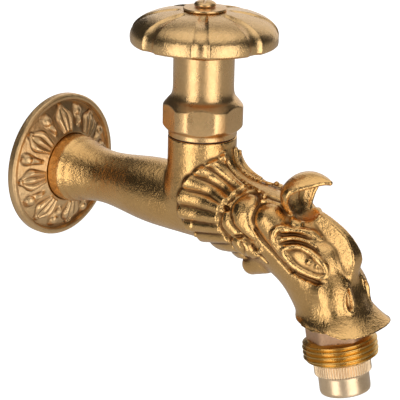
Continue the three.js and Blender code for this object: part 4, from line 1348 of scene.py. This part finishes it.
def make_aerator():
    """The aerator's shell: a straight-knurled band over a plain barrel."""
    barrel = rounded([(5.6, BARREL_END), (8.0, BARREL_END), (8.75, BARREL_END + 0.4),
                      (BARREL_R, BARREL_END + 1.4), (BARREL_R, KNURL_END - 0.1)], 0.3)
    knurl = rounded([(BARREL_R + 0.1, KNURL_END), (9.9, KNURL_END), (KNURL_R, KNURL_END + 0.35),
                     (KNURL_R, KNURL_TOP - 0.35), (9.8, KNURL_TOP), (7.7, KNURL_TOP)], 0.15)
    inside = rounded([(7.55, KNURL_TOP + 0.1), (7.55, 3.4), (7.0, 4.0), (6.6, 4.0), (6.6, BARREL_END + 1.0),
                      (5.6, BARREL_END + 1.0), (5.6, BARREL_END + 0.2)], 0.12)
    rows = with_kinds((refine(barrel, 1.0), 0), (refine(knurl, 0.4), 1), (refine(inside, 1.5), 0))

    def section(r, z, angle, kind):
        phase = np.abs((angle * KNURL_TEETH / (2 * math.pi)) % 1 - 0.5) * 2
        tooth = KNURL_DEPTH * ramp(0.72 - phase, 0.0, 0.42)
        return np.where((kind == 1) & (r > KNURL_R - 0.5), r - KNURL_DEPTH + tooth, r), z

    verts, faces = turned(rows, KNURL_TEETH * 8, SPOUT, section)
    object_from("aerator_turned", verts, faces, "satin_brass", "aerator_housing", ["aerator_shell"])


make_body()
make_inlet()
make_rosette()
make_bonnet()
make_gland_nut()
make_wheel()
make_wheel_washer()
make_wheel_screw()
make_nipple()
make_nipple_hexagon()
make_aerator()

# each node that is left showing keeps its own shape, in the material of its own slot
for node in frame["nodes"].values():
    node.data.materials[0] = MATERIALS[slot_of(node.data.materials[0])]


# ---- stage: floor, lights and camera ------------------------------------------------
FLOOR_HALF = 6.0
FLOOR_Z = -0.11


def make_floor():
    """A pale floor that lights the tap's underside but is not mirrored in the brass."""
    mesh = bpy.data.meshes.new("floor")
    corners = [(x * FLOOR_HALF, y * FLOOR_HALF, FLOOR_Z) for x, y in ((-1, -1), (1, -1), (1, 1), (-1, 1))]
    mesh.from_pydata(corners, [], [(0, 1, 2, 3)])
    floor = bpy.data.objects.new("floor", mesh)
    bpy.context.scene.collection.objects.link(floor)
    n = Nodes("floor_paint")
    n.shader.inputs["Base Color"].default_value = (0.86, 0.86, 0.86, 1)
    n.shader.inputs["Roughness"].default_value = 0.9
    n.shader.inputs["Emission Color"].default_value = (1, 1, 1, 1)
    n.shader.inputs["Emission Strength"].default_value = 0.72
    floor.data.materials.append(n.material)
    floor.visible_glossy = False
    floor.visible_shadow = False


AZIMUTH, ELEVATION, ROLL = math.radians(37.79), math.radians(19.34), math.radians(1.18)
DISTANCE = 0.54703
LENS = 135.0
SENSOR = 36.0                     # width
TARGET = Vector((VALVE_X * METRE - 0.00051, 0, 0.00087))


def towards(azimuth, elevation):
    """A direction: azimuth 0 is -Y, turning towards +X."""
    flat = math.cos(elevation)
    return Vector((math.sin(azimuth) * flat, -math.cos(azimuth) * flat, math.sin(elevation)))


def make_camera():
    data = bpy.data.cameras.new("camera")
    data.lens = LENS
    data.sensor_width = SENSOR
    data.clip_start = 0.01
    data.clip_end = 50
    camera = bpy.data.objects.new("camera", data)
    bpy.context.scene.collection.objects.link(camera)
    away = towards(AZIMUTH, ELEVATION)
    camera.location = TARGET + away * DISTANCE
    turn = (-away).to_track_quat("-Z", "Y").to_matrix() @ Matrix.Rotation(ROLL, 3, "Z")
    camera.rotation_euler = turn.to_euler()
    bpy.context.scene.camera = camera


def softbox(name, azimuth, elevation, half_wide, half_tall, radiance):
    """A soft panel that covers the given angles, in degrees, as the object sees it."""
    distance = 1.3
    wide = 2 * distance * math.tan(math.radians(half_wide))
    tall = 2 * distance * math.tan(math.radians(half_tall))
    data = bpy.data.lights.new(name, "AREA")
    data.shape = "RECTANGLE"
    data.size = wide
    data.size_y = tall
    data.energy = radiance * math.pi * wide * tall
    light = bpy.data.objects.new(name, data)
    light.visible_camera = False
    bpy.context.scene.collection.objects.link(light)
    away = towards(math.radians(azimuth), math.radians(elevation))
    light.location = TARGET + away * distance
    light.rotation_euler = (-away).to_track_quat("-Z", "Y").to_euler()


def make_world():
    """A studio that is dark round the horizon, pale overhead and warm grey below."""
    world = bpy.data.worlds.new("studio")
    bpy.context.scene.world = world
    world.use_nodes = True
    tree = world.node_tree
    where = tree.nodes.new("ShaderNodeTexCoord")
    split = tree.nodes.new("ShaderNodeSeparateXYZ")
    span = tree.nodes.new("ShaderNodeMapRange")
    span.inputs["From Min"].default_value = -1.0
    tone = tree.nodes.new("ShaderNodeValToRGB")
    tree.links.new(where.outputs["Generated"], split.inputs["Vector"])
    tree.links.new(split.outputs["Z"], span.inputs["Value"])
    tree.links.new(span.outputs["Result"], tone.inputs["Fac"])
    tree.links.new(tone.outputs["Color"], tree.nodes["Background"].inputs["Color"])
    levels = [(0.0, 0.46), (0.30, 0.42), (0.43, 0.34), (0.52, 0.05), (0.83, 0.03), (0.90, 0.45), (0.95, 1.0)]
    stops = tone.color_ramp.elements
    while len(stops) < len(levels):
        stops.new(0.5)
    for stop, (at, value) in zip(stops, levels):
        stop.position = at
        stop.color = (value, value, value, 1)
    tree.nodes["Background"].inputs["Strength"].default_value = 1.0


make_floor()
make_camera()
softbox("box_left", -2, 0, 16, 34, 1.7)
softbox("box_right", 71, 0, 20, 34, 1.6)
softbox("box_behind", 200, 20, 30, 25, 0.8)
make_world()
bpy.context.scene.view_settings.view_transform = "Standard"
